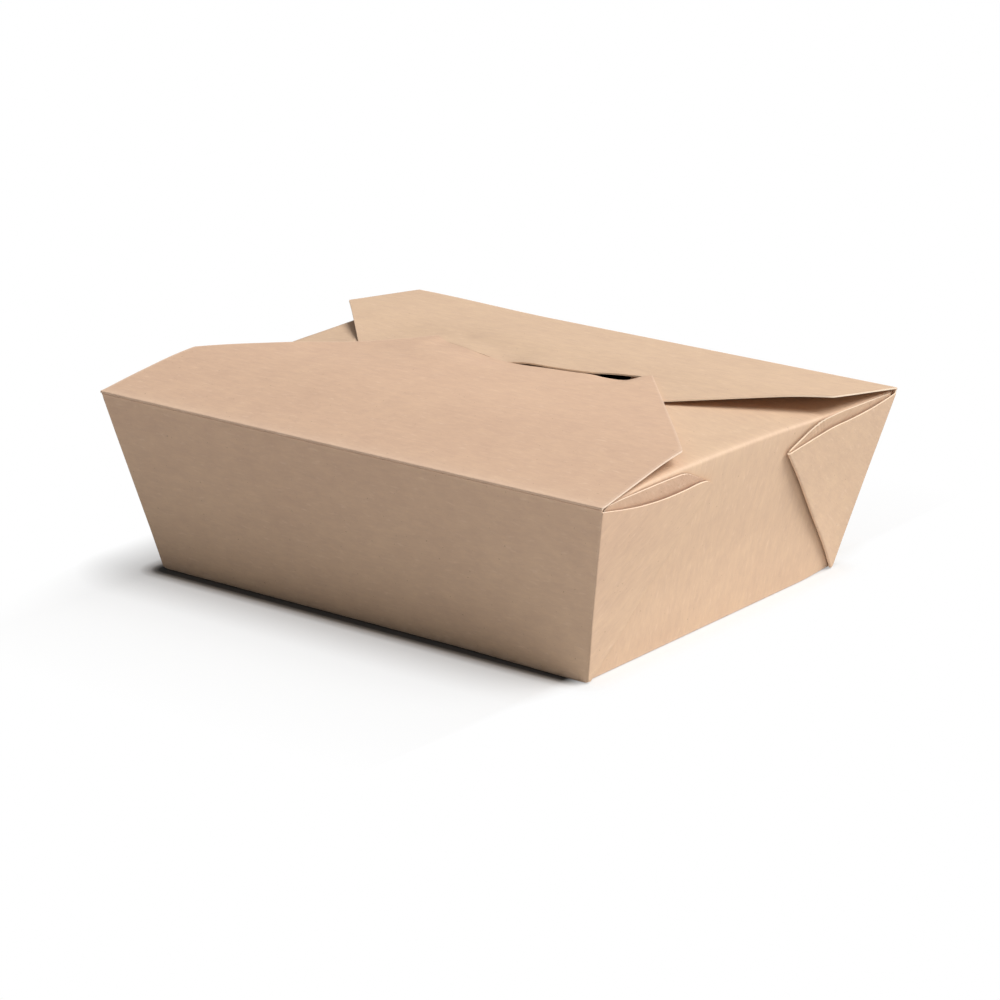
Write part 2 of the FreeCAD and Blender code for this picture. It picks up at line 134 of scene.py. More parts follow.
@dataclass(frozen=True)
class BoxSizes:
    """Sizes that the panels share, in millimetres, the same as those of the solids."""

    card: float = 0.45
    ply_gap: float = 0.15
    lap_gap: float = 0.3
    base_length: float = 150.0
    base_width: float = 125.0
    height: float = 55.0
    end_flare: float = 12.55
    side_flare: float = 12.5
    base_fold: float = 0.9
    long_crease_z: float = 54.5
    top_half: float = 88.48

    @property
    def lap_step(self) -> float:
        """Height from one lapped sheet to the next."""
        return self.card + self.lap_gap

    @property
    def end_crease_z(self) -> float:
        """Height of the end creases."""
        return self.long_crease_z - self.lap_step

    @property
    def side_slant(self) -> float:
        """Length up a long wall for each unit of height."""
        return math.hypot(self.height, self.side_flare) / self.height

    @property
    def end_slope(self) -> float:
        """Length up an end wall over the box's height."""
        return math.hypot(self.height, self.end_flare)

    @property
    def end_slant(self) -> float:
        """Length up an end wall for each unit of height."""
        return self.end_slope / self.height

    @property
    def inset(self) -> float:
        """How far a long wall's middle surface is in from its outside, measured level."""
        return self.card * self.side_slant / 2

    @property
    def long_crease_y(self) -> float:
        """Distance of the long creases' axes from the middle plane."""
        return self.long_wall_y(self.long_crease_z)

    @property
    def long_crease_t(self) -> float:
        """Place of the long creases on the blank."""
        return self.base_width / 2 + self.long_crease_z * self.side_slant

    @property
    def end_crease_s(self) -> float:
        """Place of the end creases on the blank."""
        return self.base_length / 2 + self.end_crease_z * self.end_slant

    @property
    def web_levels(self) -> Triple:
        """Distances of the end wall, the inner ply and the outer ply out from the end wall's face."""
        half = self.card / 2
        return -half, self.ply_gap + half, 2 * self.ply_gap + 3 * half

    def long_wall_y(self, z: float) -> float:
        """Distance of a long wall's middle surface from the middle plane at height z."""
        return self.base_width / 2 + self.side_flare * z / self.height - self.inset

    def long_wall_end(self, z: float) -> float:
        """Half the length of a long wall at height z, to the outer ply's middle surface."""
        return self.base_length / 2 + self.web_levels[2] * self.end_slant + self.end_flare * z / self.height


SIZES = BoxSizes()


@dataclass
class CardSheet:
    """A sheet of card, collected as grids of places and then given its thickness."""

    name: str
    weld: float = 0.012
    sharpest: float = 1.35
    places: list[Place] = field(default_factory=list)
    quads: list[tuple[int, int, int, int]] = field(default_factory=list)

    def add(self, rows: Rows) -> None:
        """Adds a grid of places.

        Args:
            rows: Rows of the same number of places.
        """
        start = len(self.places)
        width = len(rows[0])
        for row in rows:
            self.places.extend(row)
        for j in range(len(rows) - 1):
            for a in range(start + j * width, start + (j + 1) * width - 1):
                self.quads.append((a, a + 1, a + width + 1, a + width))

    def _welded(self, outside: Vector) -> bmesh.types.BMesh:
        """Joins the grids where their borders meet, and turns the faces one way.

        Args:
            outside: Direction in which the faces nearest the first place look.

        Returns:
            The open sheet, in millimetres.
        """
        bm = bmesh.new()
        layers = [bm.verts.layers.float.new(name) for name in ("s", "t", "wear_and_highlight")]
        verts = []
        for place in self.places:
            vert = bm.verts.new(place[:3])
            for layer, number in zip(layers, place[3:]):
                vert[layer] = number
            verts.append(vert)
        for quad in self.quads:
            bm.faces.new([verts[i] for i in quad])
        bmesh.ops.remove_doubles(bm, verts=bm.verts[:], dist=self.weld)
        bmesh.ops.recalc_face_normals(bm, faces=bm.faces[:])
        bm.faces.ensure_lookup_table()
        bm.normal_update()
        if bm.faces[0].normal.dot(outside) < 0:
            bmesh.ops.reverse_faces(bm, faces=bm.faces[:])
            bm.normal_update()
        return bm

    def build(self, outside: Vector) -> bpy.types.Object:
        """Makes the object: two skins and the cut edge between them.

        Args:
            outside: Direction in which the outside of the first faces looks.

        Returns:
            The new object, linked to the scene, with its mesh in metres.
        """
        bm = self._welded(outside)
        s_layer, t_layer, wear_layer = [bm.verts.layers.float[name] for name in ("s", "t", "wear_and_highlight")]
        bm.verts.index_update()
        count = len(bm.verts)
        coords: list[Vector] = []
        for sign in (1.0, -1.0):
            for vert in bm.verts:
                reach = SIZES.card / 2 * min(self.sharpest, vert.calc_shell_factor())
                coords.append((vert.co + vert.normal * reach * sign) * MM)
        flat = [(v[s_layer], v[t_layer], 0.0) for v in bm.verts] * 2
        wear_and_highlight = [v[wear_layer] for v in bm.verts] * 2
        faces: list[list[int]] = []
        sides: list[int] = []
        for face in bm.faces:
            loop = [vert.index for vert in face.verts]
            faces += [loop, [i + count for i in reversed(loop)]]
            sides += [Side.OUTSIDE.value, Side.INSIDE.value]
        rims: set[tuple[int, int]] = set()
        for edge in bm.edges:
            if len(edge.link_faces) != 1:
                continue
            loop = edge.link_loops[0]
            a, b = loop.vert.index, loop.link_loop_next.vert.index
            faces.append([b, a, a + count, b + count])
            sides.append(Side.CUT.value)
            rims |= {(min(a, b), max(a, b)), (min(a, b) + count, max(a, b) + count)}
        bm.free()

        mesh = bpy.data.meshes.new(self.name)
        mesh.from_pydata(coords, [], faces)
        mesh.polygons.foreach_set("material_index", sides)
        mesh.polygons.foreach_set("use_smooth", [True] * len(faces))
        sharp = mesh.attributes.new("sharp_edge", "BOOLEAN", "EDGE")
        sharp.data.foreach_set("value", [tuple(sorted(edge.vertices)) in rims for edge in mesh.edges])
        place = mesh.attributes.new("blank_place", "FLOAT_VECTOR", "POINT")
        place.data.foreach_set("vector", [number for spot in flat for number in spot])
        rub_and_highlight = mesh.attributes.new("wear_and_highlight", "FLOAT", "POINT")
        rub_and_highlight.data.foreach_set("value", wear_and_highlight)
        mesh.update()
        made = bpy.data.objects.new(self.name, mesh)
        bpy.context.scene.collection.objects.link(made)
        log.info("%s: %d faces", self.name, len(faces))
        return made


def fillet(corner: Pair, arriving: Pair, leaving: Pair, radius: float, steps: int) -> list[Pair]:
    """Points of the arc that rounds a corner between two straight runs.

    Args:
        corner: Where the runs would meet.
        arriving: Unit direction of the run that comes in.
        leaving: Unit direction of the run that goes out.
        radius: Radius of the arc.
        steps: Number of steps along it.

    Returns:
        steps + 1 points, from the end of the first run to the start of the second.
    """
    turn = math.acos(max(-1.0, min(1.0, arriving[0] * leaving[0] + arriving[1] * leaving[1])))
    tangent = radius * math.tan(turn / 2)
    hand = 1.0 if arriving[0] * leaving[1] - arriving[1] * leaving[0] > 0 else -1.0
    start = (corner[0] - arriving[0] * tangent, corner[1] - arriving[1] * tangent)
    centre = (start[0] - hand * arriving[1] * radius, start[1] + hand * arriving[0] * radius)
    spoke = (start[0] - centre[0], start[1] - centre[1])
    points = []
    for angle in spaced(0.0, hand * turn, steps):
        cos, sin = math.cos(angle), math.sin(angle)
        x = centre[0] + spoke[0] * cos - spoke[1] * sin
        points.append((x, centre[1] + spoke[0] * sin + spoke[1] * cos))
    return points


def eased_corner(x: float, y: float, corner: Pair, edges: Sequence[Pair], radius: float) -> Pair:
    """Moves a point of a panel onto the rounded corner of its outline, if it lies outside it.

    Args:
        x: The point's X.
        y: The point's Y.
        corner: The outline's sharp corner.
        edges: Unit directions of the outline's two edges, away from the corner.
        radius: Radius of the rounding.

    Returns:
        The point, moved or not.
    """
    first, second = Vector(edges[0]), Vector(edges[1])
    half_angle = math.acos(max(-1.0, min(1.0, first.dot(second)))) / 2
    tangent = radius / math.tan(half_angle)
    bisector = (first + second).normalized()
    centre = Vector(corner) + bisector * (radius / math.sin(half_angle))
    offset = Vector((x, y)) - Vector(corner)
    if offset.dot(first) > tangent or offset.dot(second) > tangent or offset.length > 3 * tangent + radius:
        return x, y
    spoke = Vector((x, y)) - centre
    if spoke.length <= radius or spoke.dot(bisector) > 0:
        return x, y
    moved = centre + spoke.normalized() * radius
    return moved.x, moved.y


def corner_round(distance: float, radius: float = 0.45) -> Pair:
    """Half of the round on an upright corner of the box.

    Args:
        distance: Distance from the sharp corner along one of its faces.
        radius: Radius of the round.

    Returns:
        The distance along that face and the depth under it, once rounded.
    """
    if distance >= radius:
        return distance, 0.0
    turn = math.pi / 4 * (1.0 - distance / radius)
    return radius - radius * math.sin(turn), radius - radius * math.cos(turn)


@dataclass(frozen=True)
class FlapSection:
    """Section of a long flap: straight up from its crease, a bend, then level."""

    rise_angle: float
    bend_radius: float
    rise: float

    def height(self, distance: float) -> float:
        """Height of the flap's middle surface above its crease.

        Args:
            distance: Distance in from the crease, measured level.

        Returns:
            The height in millimetres.
        """
        angle = math.radians(self.rise_angle)
        bend_rise = self.bend_radius * (1 - math.cos(angle))
        straight = (self.rise - bend_rise) / math.tan(angle)
        level_from = straight + self.bend_radius * math.sin(angle)
        if distance < straight:
            return distance * math.tan(angle)
        if distance < level_from:
            across = level_from - distance
            return self.rise - self.bend_radius + math.sqrt(self.bend_radius ** 2 - across ** 2)
        return self.rise


REAR_SECTION = FlapSection(rise_angle=8.7, bend_radius=95.0, rise=6.35)
FRONT_SECTION = FlapSection(rise_angle=10.5, bend_radius=150.0, rise=6.35 + SIZES.lap_step)


@dataclass(frozen=True)
class Lock:
    """The curved slit of the rear flap and the tongue of the front flap, in millimetres."""

    centre_y: float = 90.0
    radius: float = 80.0
    half_span: float = 39.0
    root_half: float = 23.5
    tip_half: float = 19.5
    length: float = 14.0
    corner: float = 7.0
    lip_lift: float = 0.25
    far_share: float = 0.75
    edge_gap: float = 0.1
    gaps: Stops = (
        (-39.0, 0.0), (-14.0, 0.0), (-4.0, 0.3), (10.0, 0.4), (22.0, 0.5), (25.5, 1.3), (30.0, 1.8),
        (35.0, 1.5), (39.0, 1.0),
    )

    def slit_y(self, x: float, offset: float = 0.0) -> float:
        """Y of the slit's line at x, moved outward from its centre by offset."""
        return self.centre_y - math.sqrt((self.radius + offset) ** 2 - min(abs(x), self.half_span) ** 2)

    def within(self, x: float, run: float) -> float:
        """1 along the slit, falling to 0 at its ends over a run."""
        return ease((self.half_span - abs(x)) / run)

    def opening(self, x: float) -> float:
        """Width of the gap between the front flap's edge and the slit's far lip at x."""
        return self.within(x, 5.0) * along_curve(self.gaps, x)

    def flush(self, x: float, y: float) -> float:
        """How much of the step up to the front flap's level the far lip takes, from 0 to 1."""
        return self.within(x, 8.0) * ease((self.slit_y(x) + 11.0 - y) / 11.0)

    def lift(self, x: float) -> float:
        """How far the tongue raises the slit's far lip at x."""
        return self.lip_lift * self.within(x, 10.0) * ease((x + 22.0) / 16.0)


LOCK = Lock()


@dataclass(frozen=True)
class SettledTop:
    """How the two lapped flaps of this box have settled, in millimetres."""

    swells: Pair = (0.20, 0.14)
    left_sag: float = 1.55
    pressed_in: float = 1.25
    right_dip: float = 0.8
    middle_dip: float = 0.7
    under_share: float = 0.85
    near_reach: float = 17.0
    far_reach: float = 20.0
    rear_rise: float = 0.3
    left_rise: float = 0.8
    rise_run: float = 22.0

    def drop(self, x: float, y: float) -> float:
        """How far both flaps lie under their sections, as card never lies quite flat.

        Args:
            x: Place along the box.
            y: Place across the box.

        Returns:
            The drop, the same for both flaps so that they never cross.
        """
        swell = self.swells[0] * (0.5 + 0.5 * math.sin(x / 23.0 + y / 41.0 + 0.7))
        swell += self.swells[1] * (0.5 + 0.5 * math.sin(x / 37.0 - y / 26.0 + 2.1))
        left = ease((-x - 22.0) / 50.0) * ease((74.0 - abs(y)) / 60.0)
        pressed = ease((x + 72.0) / 20.0) * ease((-x - 16.0) / 32.0)
        pressed *= ease((y + 34.0) / 34.0) * ease((62.0 - y) / 46.0)
        swell *= ease((70.0 - abs(y)) / 40.0) * (1.0 - left)
        return swell + self.left_sag * left + self.pressed_in * pressed

    def lock_dip(self, x: float, y: float) -> float:
        """How far the front flap dips where it nears the slit, as its tongue goes down into it.

        Args:
            x: Place along the box.
            y: Place across the box.

        Returns:
            The dip in millimetres.
        """
        deeper = self.right_dip * ease(1.0 - abs(x - 31.0) / 11.0)
        deeper += self.middle_dip * ease(1.0 - abs(x + 8.0) / 20.0)
        return LOCK.within(x, 7.0) * (1.0 + deeper) * ease((y - LOCK.slit_y(x)) / self.near_reach + 1.0)

    def far_lip_dip(self, x: float, y: float) -> float:
        """How far the slit's far lip lies down with the front flap, where the slit is closed."""
        closed = ease((4.0 - x) / 14.0) * ease((LOCK.slit_y(x) - y) / self.far_reach + 1.0)
        return closed * self.lock_dip(x, min(y, LOCK.slit_y(x)))

    def front_height(self, x: float, y: float) -> float:
        """Height of the front flap's middle surface at a place in plan."""
        section = FRONT_SECTION.height(y + SIZES.long_crease_y)
        return SIZES.long_crease_z + section - self.drop(x, y) - self.lock_dip(x, y)

    def rear_lift(self, x: float) -> float:
        """How far the rear crease stands over its drawn height along the box."""
        return self.rear_rise + self.left_rise * ease((-x - 35.0) / 50.0)

    def rear_height(self, x: float, y: float, before_slit: bool = False) -> float:
        """Height of the rear flap's middle surface at a place in plan.

        Args:
            x: Place along the box.
            y: Place across the box.
            before_slit: Whether the place is on the part under the front flap.

        Returns:
            The height in millimetres.
        """
        inward = SIZES.long_crease_y - y
        height = SIZES.long_crease_z + REAR_SECTION.height(inward) - self.drop(x, y)
        height += self.rear_lift(x) * math.exp(-inward / self.rise_run)
        if before_slit:
            return height - self.under_share * self.lock_dip(x, y)
        return height - self.far_lip_dip(x, y) + SIZES.lap_step * ease((-4.0 - x) / 12.0) * LOCK.flush(x, y)


TOP = SettledTop()


@dataclass(frozen=True)
class EndShape:
    """How one end of the box has bent: its wall bows in, and its crease rises or sags."""

    end: End
    bow: float
    crease_lift: Stops
    fold_radius: Stops
    bow_reach: float = 54.5
    bend_blend: float = 0.22

    def bowed(self, y: float, z: float) -> float:
        """How far the end is pushed in at a place on it.

        Args:
            y: Place along the end wall.
            z: Height above the floor.

        Returns:
            The distance towards the middle of the box.
        """
        up = max(0.0, z) / SIZES.height
        from_corner = max(0.0, (SIZES.long_wall_y(z) - abs(y)) / self.bow_reach)
        closeness = max(0.0, 1.0 - abs(up - from_corner) / self.bend_blend)
        return self.bow * max(0.0, min(up, from_corner) - self.bend_blend * closeness ** 2 / 4)

    def on_wall(self, u: float, v: float, w: float, s: float, t: float, wear_and_highlight: float = 0.0) -> Place:
        """A place given along the end wall, up its slope and out of it.

        Args:
            u: Distance along the end wall, towards +Y.
            v: Distance up the slope.
            w: Distance out of the wall's outside face.
            s: First coordinate on the blank.
            t: Second coordinate on the blank.
            wear_and_highlight: Rubbing, and a painted highlight along some folds, from 0 to 1.

        Returns:
            The place in the part's frame, bowed as the end is.
        """
        sin, cos = SIZES.end_flare / SIZES.end_slope, SIZES.height / SIZES.end_slope
        z = v * cos - w * sin
        x = SIZES.base_length / 2 + v * sin + w * cos - self.bowed(u, z)
        return Place(self.end * x, u, z, self.end * s, t, wear_and_highlight)


ENDS = (
    EndShape(
        End.LEFT,
        bow=8.8,
        crease_lift=(
            (-75.0, 0.0), (-50.0, 0.4), (-15.0, 1.4), (8.0, 2.2), (30.0, 2.0), (50.0, 0.6), (64.0, 0.0),
            (75.0, 0.0),
        ),
        fold_radius=((-75.0, 0.35), (0.0, 0.6), (75.0, 0.35)),
    ),
    EndShape(
        End.RIGHT,
        bow=0.6,
        crease_lift=(
            (-75.0, 0.0), (-66.0, 0.9), (-52.0, 2.0), (-20.0, 2.1), (10.0, 1.5), (30.0, 0.6), (45.0, 0.0),
        ),
        fold_radius=((-75.0, 0.35), (-60.0, 0.6), (-30.0, 0.95), (10.0, 0.9), (45.0, 0.6), (75.0, 0.35)),
    ),
)


@dataclass
class FoldedBody:
    """Base, walls, corner webs, end flaps and rear flap: one folded sheet."""

    corner_inset: float = 1.125
    foot_bulge: float = 1.2
    foot_height: float = 26.0
    fold_wear: float = 0.6
    front_top_rows: tuple[Triple, ...] = ((53.3, 0.0, 0.0), (53.8, 0.05, 0.05), (54.1, 0.1, 0.13))
    rear_top: float = 53.7
    rear_crease_radius: float = 0.35
    rear_crease_flat: float = 0.55
    end_crease_flat: float = 1.5
    end_flap_reach: float = 55.0
    end_flap_root: float = 73.8
    end_flap_tip: float = 38.0
    end_flap_angle: float = 9.3
    end_flap_corner: float = 8.0
    end_flap_clearance: float = 0.62
    end_flap_spare: float = 3.5
    crease_reach: float = 2.0
    crease_run: float = 14.0
    rear_side_reach: float = 36.0
    rear_tip_half: float = 45.5
    rear_reach: float = 83.0
    flap_corner: float = 1.5
    sheet: CardSheet = field(default_factory=lambda: CardSheet("folded_card"))
    columns: list[float] = field(default_factory=list)
    rows: list[float] = field(default_factory=list)
    slopes: list[float] = field(default_factory=list)

    def __post_init__(self) -> None:
        """Sets out the lines that all the grids share, so that their borders meet."""
        half = SIZES.top_half
        stops = [0.0, LOCK.half_span, self.rear_tip_half, half - 4.0, half]
        right = [0.0]
        for start, end, count in zip(stops, stops[1:], [20, 4, 18, 8]):
            right += spaced(start, end, count)[1:]
        self.columns = [-x / half for x in reversed(right[1:])] + [x / half for x in right]
        upper = spaced(0.0, 0.9, 26) + spaced(0.9, 1.0, 6)[1:]
        self.rows = [-y for y in reversed(upper[1:])] + upper
        self.slopes = [1.0] + spaced(3.0, 45.0, 21) + spaced(45.0, 53.0, 8)[1:]

    @property
    def base_halves(self) -> Pair:
        """Half the flat part of the base along X and Y, short of the folds."""
        half_x = self.fold_start(SIZES.end_flare, SIZES.base_length)
        return half_x, self.fold_start(SIZES.side_flare, SIZES.base_width)

    @property
    def rear_side_y(self) -> float:
        """Y where the rear flap's sides end."""
        return SIZES.long_crease_y - self.rear_side_reach

    @property
    def rear_tip_y(self) -> float:
        """Y of the rear flap's free edge."""
        return SIZES.long_crease_y - self.rear_reach

    def fold_start(self, flare: float, size: float) -> float:
        """Distance from the middle to a base fold, below a wall with that flare."""
        turn = math.pi / 2 - math.atan2(flare, SIZES.height)
        return size / 2 - SIZES.base_fold * math.tan(turn / 2)

    def fold_points(self, flare: float, size: float) -> list[Pair]:
        """Points of a base fold's middle surface, from the base to the wall.

        Args:
            flare: How far the wall leans out over the height.
            size: The base's size on that side.

        Returns:
            Pairs of distance from the middle and height.
        """
        centre = self.fold_start(flare, size)
        radius = SIZES.base_fold - SIZES.card / 2
        angles = spaced(-math.pi / 2, -math.atan2(flare, SIZES.height), 6)
        return [(centre + radius * math.cos(a), SIZES.base_fold + radius * math.sin(a)) for a in angles]

    def add_base(self) -> None:
        """Adds the base."""
        half_x, half_y = self.base_halves
        xs = [half_x * c for c in self.columns]
        ys = [half_y * r for r in self.rows]
        self.sheet.add([[Place(x, y, SIZES.card / 2, x, y) for x in xs] for y in ys])

    def wall_heights(self) -> list[float]:
        """Heights of a long wall's rows, which the outer plies share at the corners."""
        sin, cos = SIZES.end_flare / SIZES.end_slope, SIZES.height / SIZES.end_slope
        return [v * cos - SIZES.web_levels[2] * sin for v in self.slopes]

    def long_wall_place(self, column: float, z: float, wall: Wall, wear_and_highlight: float = 0.0) -> Place:
        """A place on a long wall.

        Args:
            column: Place along the wall, from -1 to 1.
            z: Height.
            wall: Which wall.
            wear_and_highlight: Rubbing, from 0 to 1.

        Returns:
            The place in the part's frame.
        """
        length = SIZES.long_wall_end(z)
        back, depth = corner_round(length - abs(column) * length)
        y = SIZES.long_wall_y(z) - depth
        t = SIZES.base_width / 2 + z * SIZES.side_slant
        return Place(math.copysign(length - back, column), wall * y, z, column * length, wall * t, wear_and_highlight)

    def add_long_wall(self, wall: Wall) -> None:
        """Adds a long wall with its base fold, up to its crease.

        Args:
            wall: Which wall; the front one stands out a little under its crease.
        """
        half_x = self.base_halves[0]
        fold = self.fold_points(SIZES.side_flare, SIZES.base_width)
        grid = []
        for index, (y, z) in enumerate(fold):
            length = half_x + (SIZES.long_wall_end(z) - half_x) * ease(index / (len(fold) - 1))
            t = wall * (y + z - SIZES.card / 2)
            grid.append([Place(length * c, wall * y, z, length * c, t, self.fold_wear) for c in self.columns])
        for z in self.wall_heights():
            grid.append([self.long_wall_place(c, z, wall) for c in self.columns])
        if wall is Wall.FRONT:
            for z, wear_and_highlight, out in self.front_top_rows:
                row = [self.long_wall_place(c, z, wall, wear_and_highlight) for c in self.columns]
                grid.append([place._replace(y=place.y - out) for place in row])
        self.sheet.add(grid)

    def add_rear_crease(self) -> None:
        """Adds the rear crease, from the top rows of the rear wall into the rear flap."""
        lean = math.atan2(SIZES.side_flare, SIZES.height)
        rise = math.radians(REAR_SECTION.rise_angle)
        corner = (SIZES.long_crease_y, SIZES.long_crease_z)
        arriving, leaving = (math.sin(lean), math.cos(lean)), (-math.cos(rise), math.sin(rise))
        arc = fillet(corner, arriving, leaving, self.rear_crease_radius, 5)
        raised = [TOP.rear_lift(c * SIZES.top_half) for c in self.columns]
        grid = [[self.long_wall_place(c, self.wall_heights()[-1], Wall.REAR) for c in self.columns]]
        pairs = list(zip(self.columns, raised))
        grid.append([self.long_wall_place(c, self.rear_top + up, Wall.REAR, 0.3) for c, up in pairs])
        for index, (y, z) in enumerate(arc):
            half = SIZES.long_wall_end(min(z, SIZES.long_crease_z - 0.2))
            t = SIZES.long_crease_t + (index / 5 - 0.5) * self.rear_crease_flat
            grid.append([Place(half * c, y, z + up, half * c, t, 1.0) for c, up in pairs])
        for inward, wear_and_highlight in ((1.0, 0.3), (2.0, 0.0)):
            grid.append([self.rear_place(c, SIZES.long_crease_y - inward, wear_and_highlight) for c in self.columns])
        self.sheet.add(grid)

    def rear_place(
        self, column: float, y: float, wear_and_highlight: float = 0.0, lift: float = 0.0, before_slit: bool = False
    ) -> Place:
        """A place on the rear flap.

        Args:
            column: Place along the box, from -1 to 1.
            y: Place across the box.
            wear_and_highlight: Rubbing, from 0 to 1.
            lift: Height above the flap's section.
            before_slit: Whether the place is on the part under the front flap.

        Returns:
            The place in the part's frame.
        """
        x = column * SIZES.top_half
        side, tip = (SIZES.top_half, self.rear_side_y), (self.rear_tip_half, self.rear_tip_y)
        taper = Vector((side[0] - tip[0], side[1] - tip[1])).normalized()
        ax, y = eased_corner(abs(x), y, side, ((0.0, 1.0), (-taper.x, -taper.y)), self.flap_corner)
        ax, y = eased_corner(ax, y, tip, ((taper.x, taper.y), (-1.0, 0.0)), self.flap_corner)
        ax = ax if x > 0 else -ax
        z = TOP.rear_height(ax, y, before_slit) + lift
        return Place(ax, y, z, x, SIZES.long_crease_t + SIZES.long_crease_y - y, wear_and_highlight)

    def slit_row_y(self, x: float) -> float:
        """Y of the row that holds the slit, run on to the rear flap's side corners."""
        reach = max(0.0, (abs(x) - LOCK.half_span) / (SIZES.top_half - LOCK.half_span))
        return LOCK.slit_y(x) + (self.rear_side_y - LOCK.slit_y(x)) * reach

    def tip_row_y(self, x: float) -> float:
        """Y of the rear flap's free edge and its slanting ends at x."""
        reach = max(0.0, (abs(x) - self.rear_tip_half) / (SIZES.top_half - self.rear_tip_half))
        return self.rear_tip_y + (self.rear_side_y - self.rear_tip_y) * reach

    def add_rear_flap(self) -> None:
        """Adds the rear flap in two grids that meet along the slit's row, and part at the slit."""
        behind, ahead = [], []
        start = SIZES.long_crease_y - 2.0
        along = [(c, c * SIZES.top_half) for c in self.columns]
        for f in spaced(0.0, 0.9, 24) + [0.94, 0.965, 0.98, 0.99, 1.0]:
            row = []
            for c, x in along:
                y = start + (self.slit_row_y(x) + LOCK.opening(x) * LOCK.far_share - start) * f
                row.append(self.rear_place(c, y, 0.0, LOCK.lift(x) * ease(f * 2 - 1) ** 2))
            behind.append(row)
        self.sheet.add(behind)
        for f in [0.0, 0.02, 0.05, 0.1] + spaced(0.1, 1.0, 12)[1:]:
            row = []
            for c, x in along:
                gap = 0.8 + 1.7 * ease(1.0 - abs(x - 31.0) / 9.0)
                near = self.slit_row_y(x) - gap * LOCK.within(x, 5.0)
                row.append(self.rear_place(c, near + (self.tip_row_y(x) - near) * f, before_slit=True))
            ahead.append(row)
        self.sheet.add(ahead)

    def wall_u(self, v: float) -> float:
        """Half the width of an end wall at distance v up its slope, short of the corner rolls."""
        half = SIZES.base_width / 2 + SIZES.side_flare * v / SIZES.end_slope
        return half - self.corner_inset * SIZES.side_slant

    def end_wall_row(self, shape: EndShape, v: float) -> list[Place]:
        """A row of an end wall at distance v up its slope."""
        level, s = SIZES.web_levels[0], SIZES.base_length / 2 + v
        return [shape.on_wall(self.wall_u(v) * r, v, level, s, self.wall_u(v) * r) for r in self.rows]

    def add_end_wall(self, shape: EndShape) -> None:
        """Adds an end wall with its base fold.

        Args:
            shape: How that end has bent.
        """
        half_y = self.base_halves[1]
        fold = self.fold_points(SIZES.end_flare, SIZES.base_length)
        side = shape.end
        grid = []
        for index, (x, z) in enumerate(fold):
            width = half_y + (self.wall_u(1.0) - half_y) * ease(index / (len(fold) - 1))
            s = side * (x + z - SIZES.card / 2)
            grid.append([Place(side * x, width * r, z, s, width * r, self.fold_wear) for r in self.rows])
        self.sheet.add(grid + [self.end_wall_row(shape, v) for v in self.slopes])

    def crease_section(self, shape: EndShape, y: float) -> list[Pair]:
        """Section of an end crease at a place along it.

        Args:
            shape: How that end has bent.
            y: Place along the end wall.

        Returns:
            Pairs of distance from the middle plane, before the bow, and height.
        """
        lean = math.atan2(SIZES.end_flare, SIZES.height)
        rise = math.radians(self.end_flap_angle)
        z = SIZES.end_crease_z + along_curve(shape.crease_lift, y)
        x = SIZES.base_length / 2 + SIZES.end_flare * z / SIZES.height - SIZES.card * SIZES.end_slant / 2
        arriving, leaving = (math.sin(lean), math.cos(lean)), (-math.cos(rise), math.sin(rise))
        return fillet((x, z), arriving, leaving, along_curve(shape.fold_radius, y), 8)

    def end_flap_place(self, shape: EndShape, row: float, inward: float) -> Place:
        """A place on an end flap.

        Args:
            shape: How that end has bent.
            row: Place across the flap, from -1 to 1.
            inward: Distance in from the crease.

        Returns:
            The place in the part's frame, kept under the long flaps.
        """
        f = inward / self.end_flap_reach
        half = self.end_flap_root + (self.end_flap_tip - self.end_flap_root) * f
        taper = Vector((self.end_flap_reach, self.end_flap_root - self.end_flap_tip)).normalized()
        corner = (self.end_flap_reach, self.end_flap_tip)
        edges = ((-taper.x, taper.y), (0.0, -1.0))
        d, across = eased_corner(inward, abs(row) * half, corner, edges, self.end_flap_corner)
        y = across if row > 0 else -across
        x, z = self.crease_section(shape, y)[-1]
        sunk = 1.0 - math.exp(-max(0.0, d - self.crease_reach) / self.crease_run)
        z += d * math.tan(math.radians(self.end_flap_angle)) - along_curve(shape.crease_lift, y) * sunk
        x = shape.end * (x - d - shape.bowed(y, SIZES.end_crease_z) * (1.0 - f))
        # The long flaps hold the end flap down, the front one as far as the slit lets it reach.
        cover = TOP.rear_height(x, y, before_slit=y < LOCK.slit_y(x) + 3.0)
        cover += self.end_flap_spare * ease((-12.0 - y) / 26.0)
        if y < 20.0:
            cover = min(cover, TOP.front_height(x, y))
        return Place(x, y, min(z, cover - self.end_flap_clearance), shape.end * (SIZES.end_crease_s + d), y)

    def add_end_flap(self, shape: EndShape) -> None:
        """Adds an end crease and its flap.

        Args:
            shape: How that end has bent.
        """
        side = shape.end
        grid = [self.end_wall_row(shape, self.slopes[-1])]
        roots = [self.end_flap_root * r for r in self.rows]
        arcs = [(y, self.crease_section(shape, y)) for y in roots]
        for index in range(9):
            s = side * (SIZES.end_crease_s + (index / 8 - 0.5) * self.end_crease_flat)
            wear_and_highlight = 0.4 if 2 < index < 6 else 0.1
            row = []
            for y, arc in arcs:
                x, z = arc[index]
                row.append(Place(side * (x - shape.bowed(y, z)), y, z, s, y, wear_and_highlight))
            grid.append(row)
        inner = [0.8, 1.8, 3.5] + spaced(5.0, 45.0, 16) + spaced(45.0, self.end_flap_reach, 8)[1:]
        self.sheet.add(grid + [[self.end_flap_place(shape, r, d) for r in self.rows] for d in inner])

    def settled(self, place: Place) -> Place:
        """Moves a place out where the box's foot bulges under its right end and near corner.

        Args:
            place: A place on the sheet.

        Returns:
            The place, moved by up to the foot's bulge.
        """
        bulge = self.foot_bulge * ease(1.0 - place.z / self.foot_height)
        by_end = ease((place.x - 52.0) / 22.0) * ease((66.0 - place.y) / 22.0)
        by_front = ease((place.x - 28.0) / 46.0) * ease((-place.y - 48.0) / 14.0)
        return place._replace(x=place.x + bulge * by_end, y=place.y - bulge * by_front)

